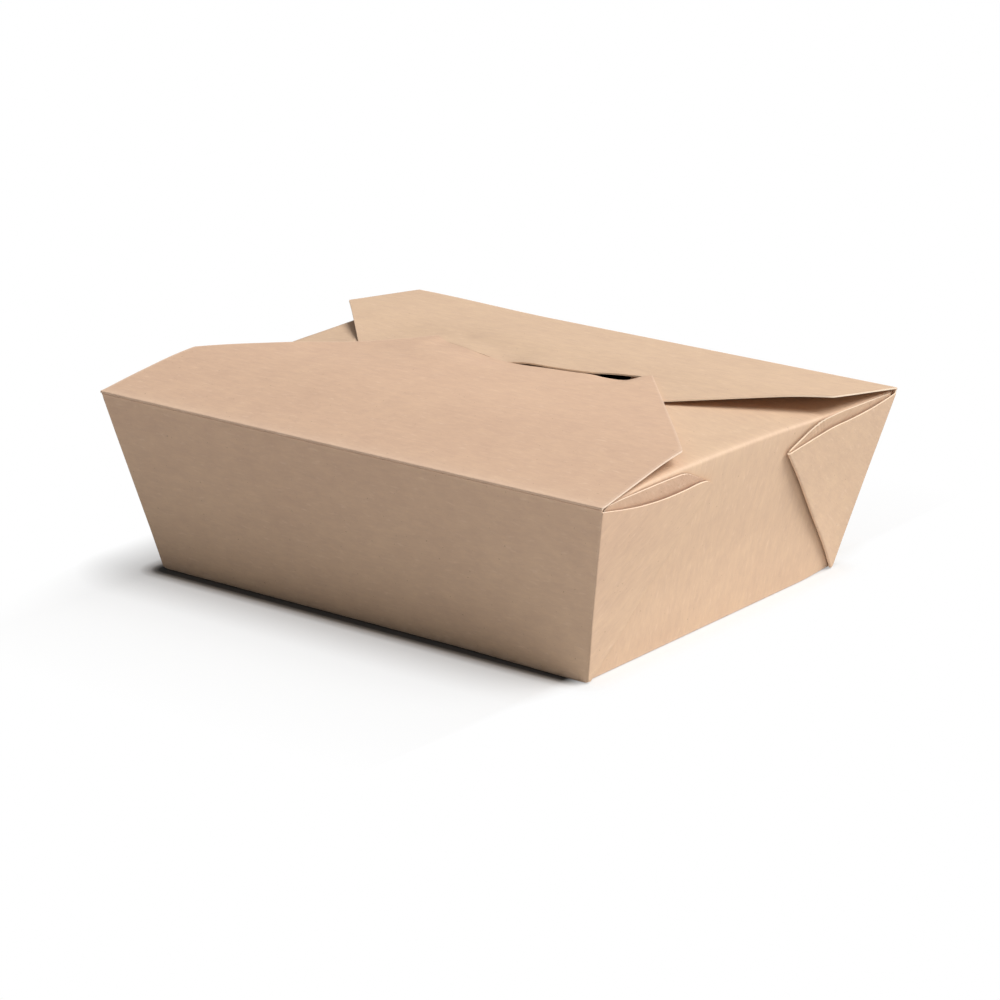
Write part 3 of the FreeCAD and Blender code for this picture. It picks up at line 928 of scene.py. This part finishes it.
    def build(self) -> bpy.types.Object:
        """Makes the folded sheet.

        Returns:
            The object, whose faces are numbered for the three materials that dress adds.
        """
        self.add_base()
        for wall in Wall:
            self.add_long_wall(wall)
        self.add_rear_crease()
        self.add_rear_flap()
        for shape in ENDS:
            self.add_end_wall(shape)
            self.add_end_flap(shape)
            for wall in Wall:
                CornerWeb(self, shape, wall).build()
        self.sheet.places = [self.settled(place) for place in self.sheet.places]
        return self.sheet.build(Vector((0, 0, -1)))


@dataclass
class CornerWeb:
    """A corner's web: two plies, folded outward and laid back on the end wall."""

    body: FoldedBody
    shape: EndShape
    wall: Wall
    reach: float = 55.5
    opening: float = 0.75
    rear_fold_lift: float = 1.15
    inner_share: float = 0.28
    crush: float = 0.10
    crush_at: float = 41.5
    crush_run: float = 6.5
    blank_turn: float = 0.6
    outer_edges: tuple[Stops, Stops] = (
        (
            (0.0, 0.2), (3.0, 0.6), (9.8, 1.7), (17.9, 2.8), (28.0, 3.6), (35.0, 3.8), (41.5, 3.8),
            (48.0, 3.7), (52.5, 4.4), (55.5, 6.2),
        ),
        (
            (0.0, 0.2), (5.0, 0.9), (14.6, 1.9), (25.0, 2.5), (34.0, 2.8), (42.4, 3.9), (49.0, 5.0),
            (55.5, 6.2),
        ),
    )
    inner_edges: tuple[Stops, Stops] = (
        ((0.0, 0.0), (4.0, -0.7), (12.0, -1.1), (36.0, -1.1), (42.0, -0.2), (55.5, 6.0)),
        ((0.0, 0.1), (10.0, -0.2), (22.0, -0.4), (32.0, -0.5), (42.0, 0.5), (55.5, 6.0)),
    )

    @property
    def shares(self) -> list[float]:
        """Places of the rows, from the web's foot, 0, to its top, 1."""
        return [v / self.body.slopes[-1] for v in self.body.slopes]

    def place(self, u: float, v: float, w: float, hand: float, wear_and_highlight: float = 0.0) -> Place:
        """A place on the web.

        Args:
            u: Distance from the middle along the end wall.
            v: Distance up its slope.
            w: Distance out of its outside face.
            hand: 1 on the outer ply and -1 on the inner one, which lie mirrored on the blank.
            wear_and_highlight: Rubbing, and a painted highlight along some folds, from 0 to 1.

        Returns:
            The place in the part's frame.
        """
        foot = SIZES.base_width / 2
        distance = math.hypot(u - foot, v)
        angle = self.blank_turn + math.atan2(foot - u, v) * hand
        s = SIZES.base_length / 2 + distance * math.sin(angle)
        t = foot + distance * math.cos(angle)
        return self.shape.on_wall(self.wall * u, v, w, s, self.wall * t, wear_and_highlight)

    def top(self, reach: float, edges: tuple[Stops, Stops]) -> Pair:
        """A point of a ply's top edge, in the end wall's frame.

        Args:
            reach: Distance from the box's upper corner, along the end wall.
            edges: For the front and the rear, pairs of that distance and the edge's depth under the crease.

        Returns:
            Distance along the wall and up its slope.
        """
        drop = along_curve(edges[0 if self.wall is Wall.FRONT else 1], reach)
        corner = SIZES.base_width / 2 + SIZES.side_flare * SIZES.end_crease_z / SIZES.height
        return corner - reach, SIZES.end_slope * SIZES.end_crease_z / SIZES.height - drop

    def lift(self, f: float, share: float) -> float:
        """How far a web stands off its end wall, most at the fold of the rear corners' webs.

        Args:
            f: Place from the foot, 0, to the top, 1.
            share: Place from the corner, 0, to the fold, 1.

        Returns:
            The distance out of the end wall.
        """
        if self.wall is Wall.FRONT:
            return 0.0
        rising = 0.25 + 0.75 * ease(1.5 * f)
        return self.rear_fold_lift * share ** 2 * rising * (1.0 - 0.45 * ease(5.0 * f - 4.0))

    def rolled(self, start: float, end: float) -> list[Pair]:
        """Section of a rolled fold between two levels.

        Args:
            start: Level of the first point.
            end: Level of the last point.

        Returns:
            Pairs of the fold's bulge and level.
        """
        radius = (start - end) / 2
        turns = spaced(math.pi / 2, -math.pi / 2, 6)
        return [(abs(radius) * math.cos(turn), (start + end) / 2 + radius * math.sin(turn)) for turn in turns]

    def outer_ply(self) -> Rows:
        """Rows of the outer ply, whose first places are the long wall's last ones."""
        reaches = [0.2, 0.45, 1.0, 2.0, 4.0, 6.0] + spaced(8.0, 51.0, 26) + [52.2, 53.4, 54.5, self.reach]
        foot = SIZES.base_width / 2
        rows = []
        for f, z in zip(self.shares, self.body.wall_heights()):
            wall = self.body.long_wall_place(1.0, z, self.wall, 0.5)
            row = [wall._replace(x=self.shape.end * wall.x, s=self.shape.end * wall.s)]
            for reach in reaches:
                back, depth = corner_round(reach)
                u, v = self.top(back, self.outer_edges)
                share = reach / self.reach
                opened = self.opening * ease(f * 2.2 - 1.2) * math.sin(math.pi * share) ** 0.8
                u = foot + (u - foot) * f - SIZES.inset * (1 - share)
                w = SIZES.web_levels[2] + opened - depth + self.lift(f, share)
                row.append(self.place(u, v * f, w, 1.0))
            rows.append(row)
        return rows

    def inner_ply(self) -> Rows:
        """Rows of the inner ply, opened less than the outer one and crushed at its top."""
        level = SIZES.web_levels[1]
        inset = self.body.corner_inset * SIZES.side_slant
        reaches = spaced(inset, 35.0, 20) + spaced(35.0, 48.0, 36)[1:] + spaced(48.0, self.reach, 6)[1:]
        rows = []
        for f, v_wall in zip(self.shares, self.body.slopes):
            row = [self.place(self.body.wall_u(v_wall), v_wall, level, -1.0, 0.3)]
            for reach in reaches[1:]:
                u, v = self.top(reach, self.inner_edges)
                share = reach / self.reach
                foot = SIZES.base_width / 2 - inset * (1 - share)
                off = self.inner_share * self.opening * ease(f * 2.2 - 1.2) * math.sin(math.pi * share)
                crushed = ease(1.0 - abs(reach - self.crush_at) / self.crush_run) * ease(f * 12.0 - 10.8)
                off += self.crush * crushed * math.sin(reach * 3.9 + 0.8 * math.sin(reach * 1.7))
                off += self.lift(f, share)
                row.append(self.place(foot + (u - foot) * f, v * f, level + max(0.0, off), -1.0))
            rows.append(row)
        return rows

    def diagonal_roll(self) -> Rows:
        """Rows of the roll that joins the plies along the web's diagonal fold."""
        foot = SIZES.base_width / 2
        tip = self.top(self.reach, self.outer_edges)
        along = Vector((tip[0] - foot, tip[1])).normalized()
        # The rear webs' diagonal folds are painted paler, crease wear together with a painted highlight along
        # the fold; the front webs' folds get none, so that no pale line shows there.
        wear_and_highlight = 0.0 if self.wall is Wall.FRONT else 0.3
        rows = []
        for f in self.shares:
            u, v, lifted = foot + (tip[0] - foot) * f, tip[1] * f, self.lift(f, 1.0)
            row = []
            for bulge, w in self.rolled(SIZES.web_levels[2], SIZES.web_levels[1]):
                row.append(self.place(u - along.y * bulge, v + along.x * bulge, w + lifted, 1.0, wear_and_highlight))
            rows.append(row)
        return rows

    def corner_roll(self) -> Rows:
        """Rows of the roll that joins the inner ply to the end wall."""
        rolled = self.rolled(SIZES.web_levels[0], SIZES.web_levels[1])
        wear_and_highlight = self.body.fold_wear
        rows = []
        for v in self.body.slopes:
            rows.append([self.place(self.body.wall_u(v) + bulge, v, w, -1.0, wear_and_highlight) for bulge, w in rolled])
        return rows

    def build(self) -> None:
        """Adds the web to the folded sheet."""
        for rows in (self.outer_ply(), self.inner_ply(), self.diagonal_roll(), self.corner_roll()):
            self.body.sheet.add(rows)


@dataclass
class FrontFlap:
    """The flap that turns: its rounded crease, its tapering sheet and the tongue."""

    side_reach: float = 39.0
    side_taper: float = 1.4
    corner: float = 1.5
    bead: float = 0.38
    crease_wear: float = 0.45
    # Paleness of the flap's side edges: edge wear and a painted highlight.
    side_rub_and_highlight: float = 0.9
    tongue_drops: Stops = ((0.0, 0.0), (0.25, 0.04), (0.6, 0.14), (1.1, 0.28), (1.6, 0.36), (2.2, 0.40))
    tongue_clearance: float = 0.5
    bead_run: float = 1.2
    sheet: CardSheet = field(default_factory=lambda: CardSheet("front_flap_card"))
    columns: list[float] = field(default_factory=list)

    def __post_init__(self) -> None:
        """Sets out the columns, with one on each side of the tongue's root."""
        root = LOCK.root_half / LOCK.half_span
        right = spaced(0.0, root, 14) + spaced(root, 0.95, 14)[1:] + spaced(0.95, 1.0, 4)[1:]
        self.columns = [-u for u in reversed(right[1:])] + right

    def edge_y(self, x: float) -> float:
        """Y of the flap's curved edge at x, just outside the slit's line."""
        return LOCK.slit_y(x, LOCK.opening(x) * (1.0 - LOCK.far_share) + LOCK.edge_gap)

    def height(self, x: float, y: float) -> float:
        """Height of the flap's middle surface, raised to the bead's top at the crease."""
        raised = (self.bead - SIZES.card / 2) * math.exp(-(y + SIZES.long_crease_y) / self.bead_run)
        return TOP.front_height(x, y) + raised

    def place(self, column: float, f: float) -> Place:
        """A place on the flap's sheet.

        Args:
            column: Place across the flap, from -1 to 1.
            f: Place from the crease, 0, to the curved edge, 1.

        Returns:
            The place in the part's frame.
        """
        crease = SIZES.long_crease_y
        nose_x, nose_y = LOCK.half_span, LOCK.slit_y(LOCK.half_span, LOCK.edge_gap)
        side_x, side_y = SIZES.top_half - self.side_taper, self.side_reach - crease
        nominal = -crease + f * (nose_y + crease)
        if nominal < side_y:
            width = SIZES.top_half - self.side_taper * (nominal + crease) / self.side_reach
        else:
            width = side_x + (nose_x - side_x) * (nominal - side_y) / (nose_y - side_y)
        y = -crease + f * (self.edge_y(column * nose_x) + crease)
        diagonal = Vector((nose_x - side_x, nose_y - side_y)).normalized()
        taper = Vector((self.side_taper, -self.side_reach)).normalized()
        edges = ((taper.x, taper.y), (diagonal.x, diagonal.y))
        ax, y = eased_corner(abs(column * width), y, (side_x, side_y), edges, self.corner)
        x = math.copysign(ax, column)
        inward = y + crease
        # The outermost columns along the sides are painted paler: edge wear, with a painted highlight along
        # the lit side edge.
        at_side = self.side_rub_and_highlight if abs(column) > 0.999 else 0.0
        wear_and_highlight = max(self.crease_wear * math.exp(-inward / 2.0), at_side)
        return Place(x, y, self.height(x, y), x, -(SIZES.long_crease_t + inward), wear_and_highlight)

    def add_bead(self) -> None:
        """Adds the rounded outside of the crease, as a closed roll round the hinge's axis."""
        radius, half = self.bead - SIZES.card / 2, SIZES.top_half
        rows = []
        for turn in spaced(-0.45 * math.pi, 1.5 * math.pi, 12):
            y = -SIZES.long_crease_y - radius * math.sin(turn)
            z = SIZES.long_crease_z + radius * math.cos(turn)
            t = turn * radius - SIZES.long_crease_t
            rows.append([Place(half * c, y, z, half * c, t, self.crease_wear) for c in self.columns])
        self.sheet.add(rows)

    def add_tongue(self) -> None:
        """Adds the tongue, down through the slit and under the rear flap."""
        root = LOCK.root_half / LOCK.half_span + 1e-6
        inside = [c * LOCK.half_span for c in self.columns if abs(c) <= root]
        flat = SIZES.long_crease_t + SIZES.long_crease_y
        grid = []
        for travel, drop in self.tongue_drops:
            row = []
            for x in inside:
                y = self.edge_y(x) + travel
                row.append(Place(x, y, self.height(x, y) - drop, x, -flat - y))
            grid.append(row)
        travel, drop = self.tongue_drops[-1]
        tip_y = LOCK.slit_y(0.0) + LOCK.length
        lean = Vector((LOCK.root_half - LOCK.tip_half, -LOCK.length)).normalized()
        edges = ((lean.x, lean.y), (-1.0, 0.0))
        for f in spaced(0.0, 1.0, 14)[1:]:
            half = LOCK.root_half + (LOCK.tip_half - LOCK.root_half) * f
            row = []
            for root_x in inside:
                start = self.edge_y(root_x) + travel
                y = start + (tip_y - start) * f
                x = root_x / LOCK.root_half * half
                ax, y = eased_corner(abs(x), y, (LOCK.tip_half, tip_y), edges, LOCK.corner)
                x = math.copysign(ax, x)
                z = self.height(x, y) - drop
                if f > 0.3:
                    z = min(z, TOP.rear_height(x, y) - self.tongue_clearance)
                row.append(Place(x, y, z, x, -flat - y))
            grid.append(row)
        self.sheet.add(grid)

    def build(self) -> bpy.types.Object:
        """Makes the flap.

        Returns:
            The object, whose faces are numbered for the three materials that dress adds.
        """
        shares = [0.0, 0.004, 0.01, 0.02] + spaced(0.035, 0.38, 20) + spaced(0.38, 0.45, 14)[1:]
        shares += spaced(0.45, 0.97, 28)[1:] + [0.985, 1.0]
        self.sheet.add([[self.place(c, f) for c in self.columns] for f in shares])
        self.add_tongue()
        self.add_bead()
        return self.sheet.build(Vector((0, 0, 1)))


Value = Union["Signal", float]


def node_operator(operation: str, reflected: bool = False) -> Callable[["Signal", Value], "Signal"]:
    """Makes an operator of Signal.

    Args:
        operation: The operation of the Math node that it adds.
        reflected: Whether the other value comes first.

    Returns:
        The operator's method.
    """

    def apply(this: "Signal", other: Value) -> "Signal":
        """Adds the Math node and gives its result."""
        first, second = (other, this) if reflected else (this, other)
        return this.bench.node("ShaderNodeMath", {"operation": operation}, {0: first, 1: second})

    return apply


@dataclass(frozen=True, eq=False)
class Signal:
    """A socket's output, on which arithmetic adds Math nodes."""

    bench: "NodeBench"
    socket: Union[bpy.types.NodeSocket, None]

    __add__ = node_operator("ADD")
    __radd__ = node_operator("ADD", True)
    __sub__ = node_operator("SUBTRACT")
    __rsub__ = node_operator("SUBTRACT", True)
    __mul__ = node_operator("MULTIPLY")
    __rmul__ = node_operator("MULTIPLY", True)

    def clamped(self) -> "Signal":
        """This, held between 0 and 1."""
        return self.bench.node("ShaderNodeClamp", {}, {"Value": self})

    def ramped(self, start: float, slope: float) -> "Signal":
        """0 up to start, then rising with that slope to 1."""
        return ((self - start) * slope).clamped()


class NodeBench:
    """Makes the nodes of one material or world."""

    def __init__(self, tree: bpy.types.NodeTree) -> None:
        """Takes over the tree and clears it."""
        self.tree = tree
        tree.nodes.clear()

    def node(
        self,
        kind: str,
        settings: dict[str, object],
        inputs: dict[Union[int, str], object],
        output: Union[int, str] = 0,
    ) -> Signal:
        """Adds a node.

        Args:
            kind: The node's type.
            settings: Its settings, set first.
            inputs: Values or signals for its sockets, by name or index.
            output: The output that the result stands for.

        Returns:
            That output.
        """
        made = self.tree.nodes.new(kind)
        for name, value in settings.items():
            setattr(made, name, value)
        for name, value in inputs.items():
            if isinstance(value, Signal):
                self.tree.links.new(value.socket, made.inputs[name])
            else:
                made.inputs[name].default_value = value
        return Signal(self, made.outputs[output] if len(made.outputs) else None)

    def attribute(self, name: str, output: str) -> Signal:
        """One of the mesh's attributes."""
        settings = {"attribute_name": name, "attribute_type": "GEOMETRY"}
        return self.node("ShaderNodeAttribute", settings, {}, output)

    def mixed(self, factor: Value, first: object, second: object, blend: str = "MIX") -> Signal:
        """Mixes two colours.

        Args:
            factor: 0 gives the first and 1 the second.
            first: A colour, or a signal that carries one.
            second: The same.
            blend: How the second goes over the first.

        Returns:
            The mixed colour.
        """
        settings = {"data_type": "RGBA", "blend_type": blend, "clamp_factor": True}
        return self.node("ShaderNodeMix", settings, {0: factor, 6: first, 7: second}, 2)

    def noise(self, place: Signal, scale: float, detail: float, roughness: float = 0.5) -> Signal:
        """Noise at a place.

        Args:
            place: The vector to read it at.
            scale: Its scale.
            detail: Its octaves.
            roughness: Their roughness.

        Returns:
            The noise, about 0.5 on average.
        """
        inputs = {"Vector": place, "Scale": scale, "Detail": detail, "Roughness": roughness}
        return self.node("ShaderNodeTexNoise", {}, inputs, "Fac")

    def vector(self, operation: str, *inputs: object, output: Union[int, str] = 0) -> Signal:
        """Vector maths on one or two vectors."""
        return self.node("ShaderNodeVectorMath", {"operation": operation}, dict(enumerate(inputs)), output)

    def backdrop_seen(self) -> Signal:
        """1 for the camera, for reflections and through glass, 0 for the light on the box."""
        rays = ("Is Camera Ray", "Is Glossy Ray", "Is Transmission Ray")
        seen, mirrored, through = [self.node("ShaderNodeLightPath", {}, {}, ray) for ray in rays]
        return (seen + mirrored + through).clamped()


@dataclass(frozen=True)
class KraftCard:
    """Uncoated kraft card: one face or the cut edge of it."""

    name: str
    colour: Colour
    shade: Colour
    # Paler colour for rubbing and pale streaks, also laid on as painted highlights along some folds and
    # edges.
    rub_and_highlight: Colour
    streaks: float
    flecks: float
    bump: float
    fleck_colour: Colour = (0.30, 0.17, 0.10, 1.0)
    rear_tint: Colour = (1.0, 1.045, 1.03, 1.0)
    fibre_stretch: Triple = (0.15, 0.5, 1.0)
    short_stretch: Triple = (0.42, 1.4, 1.0)
    roughness: float = 0.80
    relief_depth: float = 0.00012

    def material(self) -> bpy.types.Material:
        """Makes the material.

        Returns:
            The material, read from the mesh's place on the flat blank.
        """
        made = bpy.data.materials.new(self.name)
        made.use_nodes = True
        bench = NodeBench(made.node_tree)
        blank = bench.attribute("blank_place", "Vector")
        wear_and_highlight = bench.attribute("wear_and_highlight", "Fac")
        short_place = bench.vector("MULTIPLY", blank, self.short_stretch)
        fibres = bench.noise(bench.vector("MULTIPLY", blank, self.fibre_stretch), 1.0, 5.0, 0.66)
        short = bench.noise(short_place, 1.0, 3.0, 0.6)
        across = bench.node("ShaderNodeSeparateXYZ", {}, {0: blank}, 1)
        mottle = bench.noise(blank, 0.13, 4.0, 0.6)
        cloud = bench.noise(blank, 0.022, 2.0)
        speck = bench.noise(blank, 1.1, 2.0)
        grain = bench.noise(blank, 6.0, 2.0, 0.6)

        tone = 0.5 + self.streaks * ((fibres - 0.5) * 1.7 + (short - 0.5) * 1.0)
        tone = (tone + (mottle - 0.5) * 1.2 + (cloud - 0.5) * 0.7).clamped()
        colour = bench.mixed(tone, self.shade, self.colour)
        colour = bench.mixed(across.ramped(-130.0, 0.0167), colour, self.rear_tint, "MULTIPLY")
        pale = bench.noise(short_place, 0.62, 2.0).ramped(0.60, 7.0) * 0.35 * self.streaks
        colour = bench.mixed(pale, colour, self.rub_and_highlight)
        colour = bench.mixed(speck.ramped(0.745 - 0.03 * self.flecks, 28.0) * 0.5, colour, self.fleck_colour)
        # Paler where the mesh's rubbing attribute says so: crease and edge wear, and the painted highlights
        # along some folds and edges.
        colour = bench.mixed((wear_and_highlight * (0.35 + 1.1 * short) * 0.75).clamped(), colour, self.rub_and_highlight)

        relief = fibres * 0.35 + short * 0.45 + grain * 0.5 + speck * 0.3
        inputs = {"Strength": self.bump, "Distance": self.relief_depth, "Height": relief}
        normal = bench.node("ShaderNodeBump", {}, inputs)
        rough = self.roughness + 0.16 * (grain - 0.5)
        inputs = {"Base Color": colour, "Roughness": rough, "Specular IOR Level": 0.25, "Normal": normal}
        shader = bench.node("ShaderNodeBsdfPrincipled", {}, inputs)
        bench.node("ShaderNodeOutputMaterial", {}, {"Surface": shader})
        return made


FINISHES = {
    Side.OUTSIDE: KraftCard(
        "kraft_card_outside",
        colour=(0.745, 0.514, 0.358, 1.0),
        shade=(0.655, 0.440, 0.315, 1.0),
        rub_and_highlight=(0.86, 0.65, 0.50, 1.0),
        streaks=0.9,
        flecks=1.0,
        bump=0.55,
    ),
    Side.INSIDE: KraftCard(
        "kraft_card_inside",
        colour=(0.70, 0.47, 0.33, 1.0),
        shade=(0.60, 0.39, 0.27, 1.0),
        rub_and_highlight=(0.80, 0.60, 0.46, 1.0),
        streaks=1.0,
        flecks=1.6,
        bump=0.7,
    ),
    Side.CUT: KraftCard(
        "kraft_card_cut_edge",
        colour=(0.90, 0.72, 0.57, 1.0),
        shade=(0.80, 0.61, 0.47, 1.0),
        rub_and_highlight=(0.86, 0.68, 0.54, 1.0),
        streaks=0.6,
        flecks=0.0,
        bump=0.8,
    ),
}


def dress(piece: bpy.types.Object) -> None:
    """Gives a piece of card its faces' materials, in the order of Side."""
    for side in Side:
        finish = FINISHES[side]
        piece.data.materials.append(bpy.data.materials.get(finish.name) or finish.material())


@dataclass(frozen=True)
class Studio:
    """Floor, background, lamp and the camera at the photograph's angle."""

    azimuth: float = 36.53
    elevation: float = 18.57
    roll: float = 0.80
    distance: float = 1.0638
    focal_px: float = 3605.0
    shift_right_px: float = -0.5
    shift_down_px: float = 68.2
    image_px: float = 1000.0
    sky: float = 0.205
    lamp_place: Triple = (1.72, 0.62, 2.42)
    lamp_aim: Triple = (0.0, 0.0, 0.03)
    lamp_size: float = 2.0
    lamp_watts: float = 104.0
    lamp_colour: Triple = (1.0, 0.99, 0.975)
    foot_half: Triple = (0.0745, 0.062, 10.0)
    floor_colour: Colour = (0.80, 0.80, 0.80, 1.0)
    # Colour of the painted contact shadow at the foot of the box.
    painted_contact_shadow_colour: Colour = (0.11, 0.11, 0.11, 1.0)

    def add_camera(self) -> None:
        """Adds the camera."""
        azimuth, elevation, roll = [math.radians(turn) for turn in (self.azimuth, self.elevation, self.roll)]
        level = math.cos(elevation)
        back = Vector((math.sin(azimuth) * level, -math.cos(azimuth) * level, math.sin(elevation)))
        right = Vector((math.cos(azimuth), math.sin(azimuth), 0.0))
        up = back.cross(right)
        data = bpy.data.cameras.new("camera")
        data.sensor_width = 36.0
        data.lens = self.focal_px / self.image_px * data.sensor_width
        data.shift_x = -self.shift_right_px / self.image_px
        data.shift_y = self.shift_down_px / self.image_px
        data.clip_start = 0.05
        data.clip_end = 50.0
        camera = bpy.data.objects.new("camera", data)
        across = right * math.cos(roll) + up * math.sin(roll)
        upward = up * math.cos(roll) - right * math.sin(roll)
        turned = Matrix((across, upward, back)).transposed().to_4x4()
        camera.matrix_world = Matrix.Translation(back * self.distance) @ turned
        bpy.context.scene.collection.objects.link(camera)
        bpy.context.scene.camera = camera

    def add_world(self) -> None:
        """Adds soft light from all round, and a white background for what the camera sees."""
        world = bpy.data.worlds.new("studio")
        bpy.context.scene.world = world
        world.use_nodes = True
        bench = NodeBench(world.node_tree)
        strength = self.sky + bench.backdrop_seen() * (1.0 - self.sky)
        light = bench.node("ShaderNodeBackground", {}, {"Color": (1.0, 1.0, 1.0, 1.0), "Strength": strength})
        bench.node("ShaderNodeOutputWorld", {}, {"Surface": light})

    def add_lamp(self) -> None:
        """Adds the square lamp, high up behind the box's right."""
        data = bpy.data.lights.new("soft_key", "AREA")
        data.shape = "SQUARE"
        data.size = self.lamp_size
        data.energy = self.lamp_watts
        data.color = self.lamp_colour
        lamp = bpy.data.objects.new("soft_key", data)
        lamp.location = self.lamp_place
        lamp.rotation_mode = "QUATERNION"
        lamp.rotation_quaternion = (Vector(self.lamp_aim) - Vector(self.lamp_place)).to_track_quat("-Z", "Y")
        bpy.context.scene.collection.objects.link(lamp)

    def floor_material(self) -> bpy.types.Material:
        """Makes the floor's material, with a painted contact shadow and painted shade near the box, and white
        further off.

        Returns:
            The material.
        """
        made = bpy.data.materials.new("floor_white")
        made.use_nodes = True
        bench = NodeBench(made.node_tree)
        place = bench.node("ShaderNodeTexCoord", {}, {}, "Object")
        past = bench.vector("SUBTRACT", bench.vector("ABSOLUTE", place), self.foot_half)
        reach = bench.vector("LENGTH", bench.vector("MAXIMUM", past, (0.0, 0.0, 0.0)), output="Value")
        along = bench.node("ShaderNodeSeparateXYZ", {}, {0: place}, 0)
        # Painted shade and light on the floor: the white glow that the camera sees is held low near the box,
        # so the shade fading out from its foot over some 9 cm is painted by these ramps over the real shadow;
        # the floor is painted whiter on the box's lit right side and a little whiter far to its left.
        right, left = along.ramped(0.070, 150.0), along.ramped(-0.078, -45.0)
        white = 0.40 * reach.ramped(0.0045, 220.0) + 0.36 * reach.ramped(0.008, 50.0)
        white = (white + 0.24 * reach.ramped(0.02, 14.0) + right * 0.5 + left * 0.22).clamped()
        # Painted contact shadow: the paint is darkened within about 3 mm of the box's foot, fading out by 6
        # mm, but not on the lit right side.
        painted_contact_shadow = (1.0 - reach.ramped(0.003, 350.0)) * (1.0 - right)
        colour = bench.mixed(painted_contact_shadow, self.floor_colour, self.painted_contact_shadow_colour)
        inputs = {"Base Color": colour, "Roughness": 0.95, "Specular IOR Level": 0.0}
        paint = bench.node("ShaderNodeBsdfPrincipled", {}, inputs)
        glow = bench.node("ShaderNodeEmission", {}, {"Color": (1.0, 1.0, 1.0, 1.0), "Strength": 1.0})
        mixed = bench.node("ShaderNodeMixShader", {}, {0: bench.backdrop_seen() * white, 1: paint, 2: glow})
        bench.node("ShaderNodeOutputMaterial", {}, {"Surface": mixed})
        return made

    def add_floor(self) -> None:
        """Adds the pale floor, which keeps the box's shadow, deepened near the box by painted shade, and
        fades to white further off.
        """
        bm = bmesh.new()
        bmesh.ops.create_grid(bm, x_segments=8, y_segments=8, size=4.0)
        mesh = bpy.data.meshes.new("floor")
        bm.to_mesh(mesh)
        bm.free()
        mesh.materials.append(self.floor_material())
        floor = bpy.data.objects.new("floor", mesh)
        bpy.context.scene.collection.objects.link(floor)

    def build(self) -> None:
        """Adds all of it, and sets the plain view."""
        bpy.context.scene.view_settings.view_transform = "Standard"
        self.add_camera()
        self.add_world()
        self.add_lamp()
        self.add_floor()
        log.info("studio ready")


def main() -> None:
    """Builds the pieces in order."""
    logging.basicConfig(level=logging.INFO, format="%(name)s: %(message)s")
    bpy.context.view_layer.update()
    Studio().build()

    body = FoldedBody().build()
    dress(body)
    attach(body, "box")
    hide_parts("box_body")

    flap = FrontFlap().build()
    dress(flap)
    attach(flap, "front_flap")
    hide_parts("front_flap")


if __name__ == "__main__":
    main()
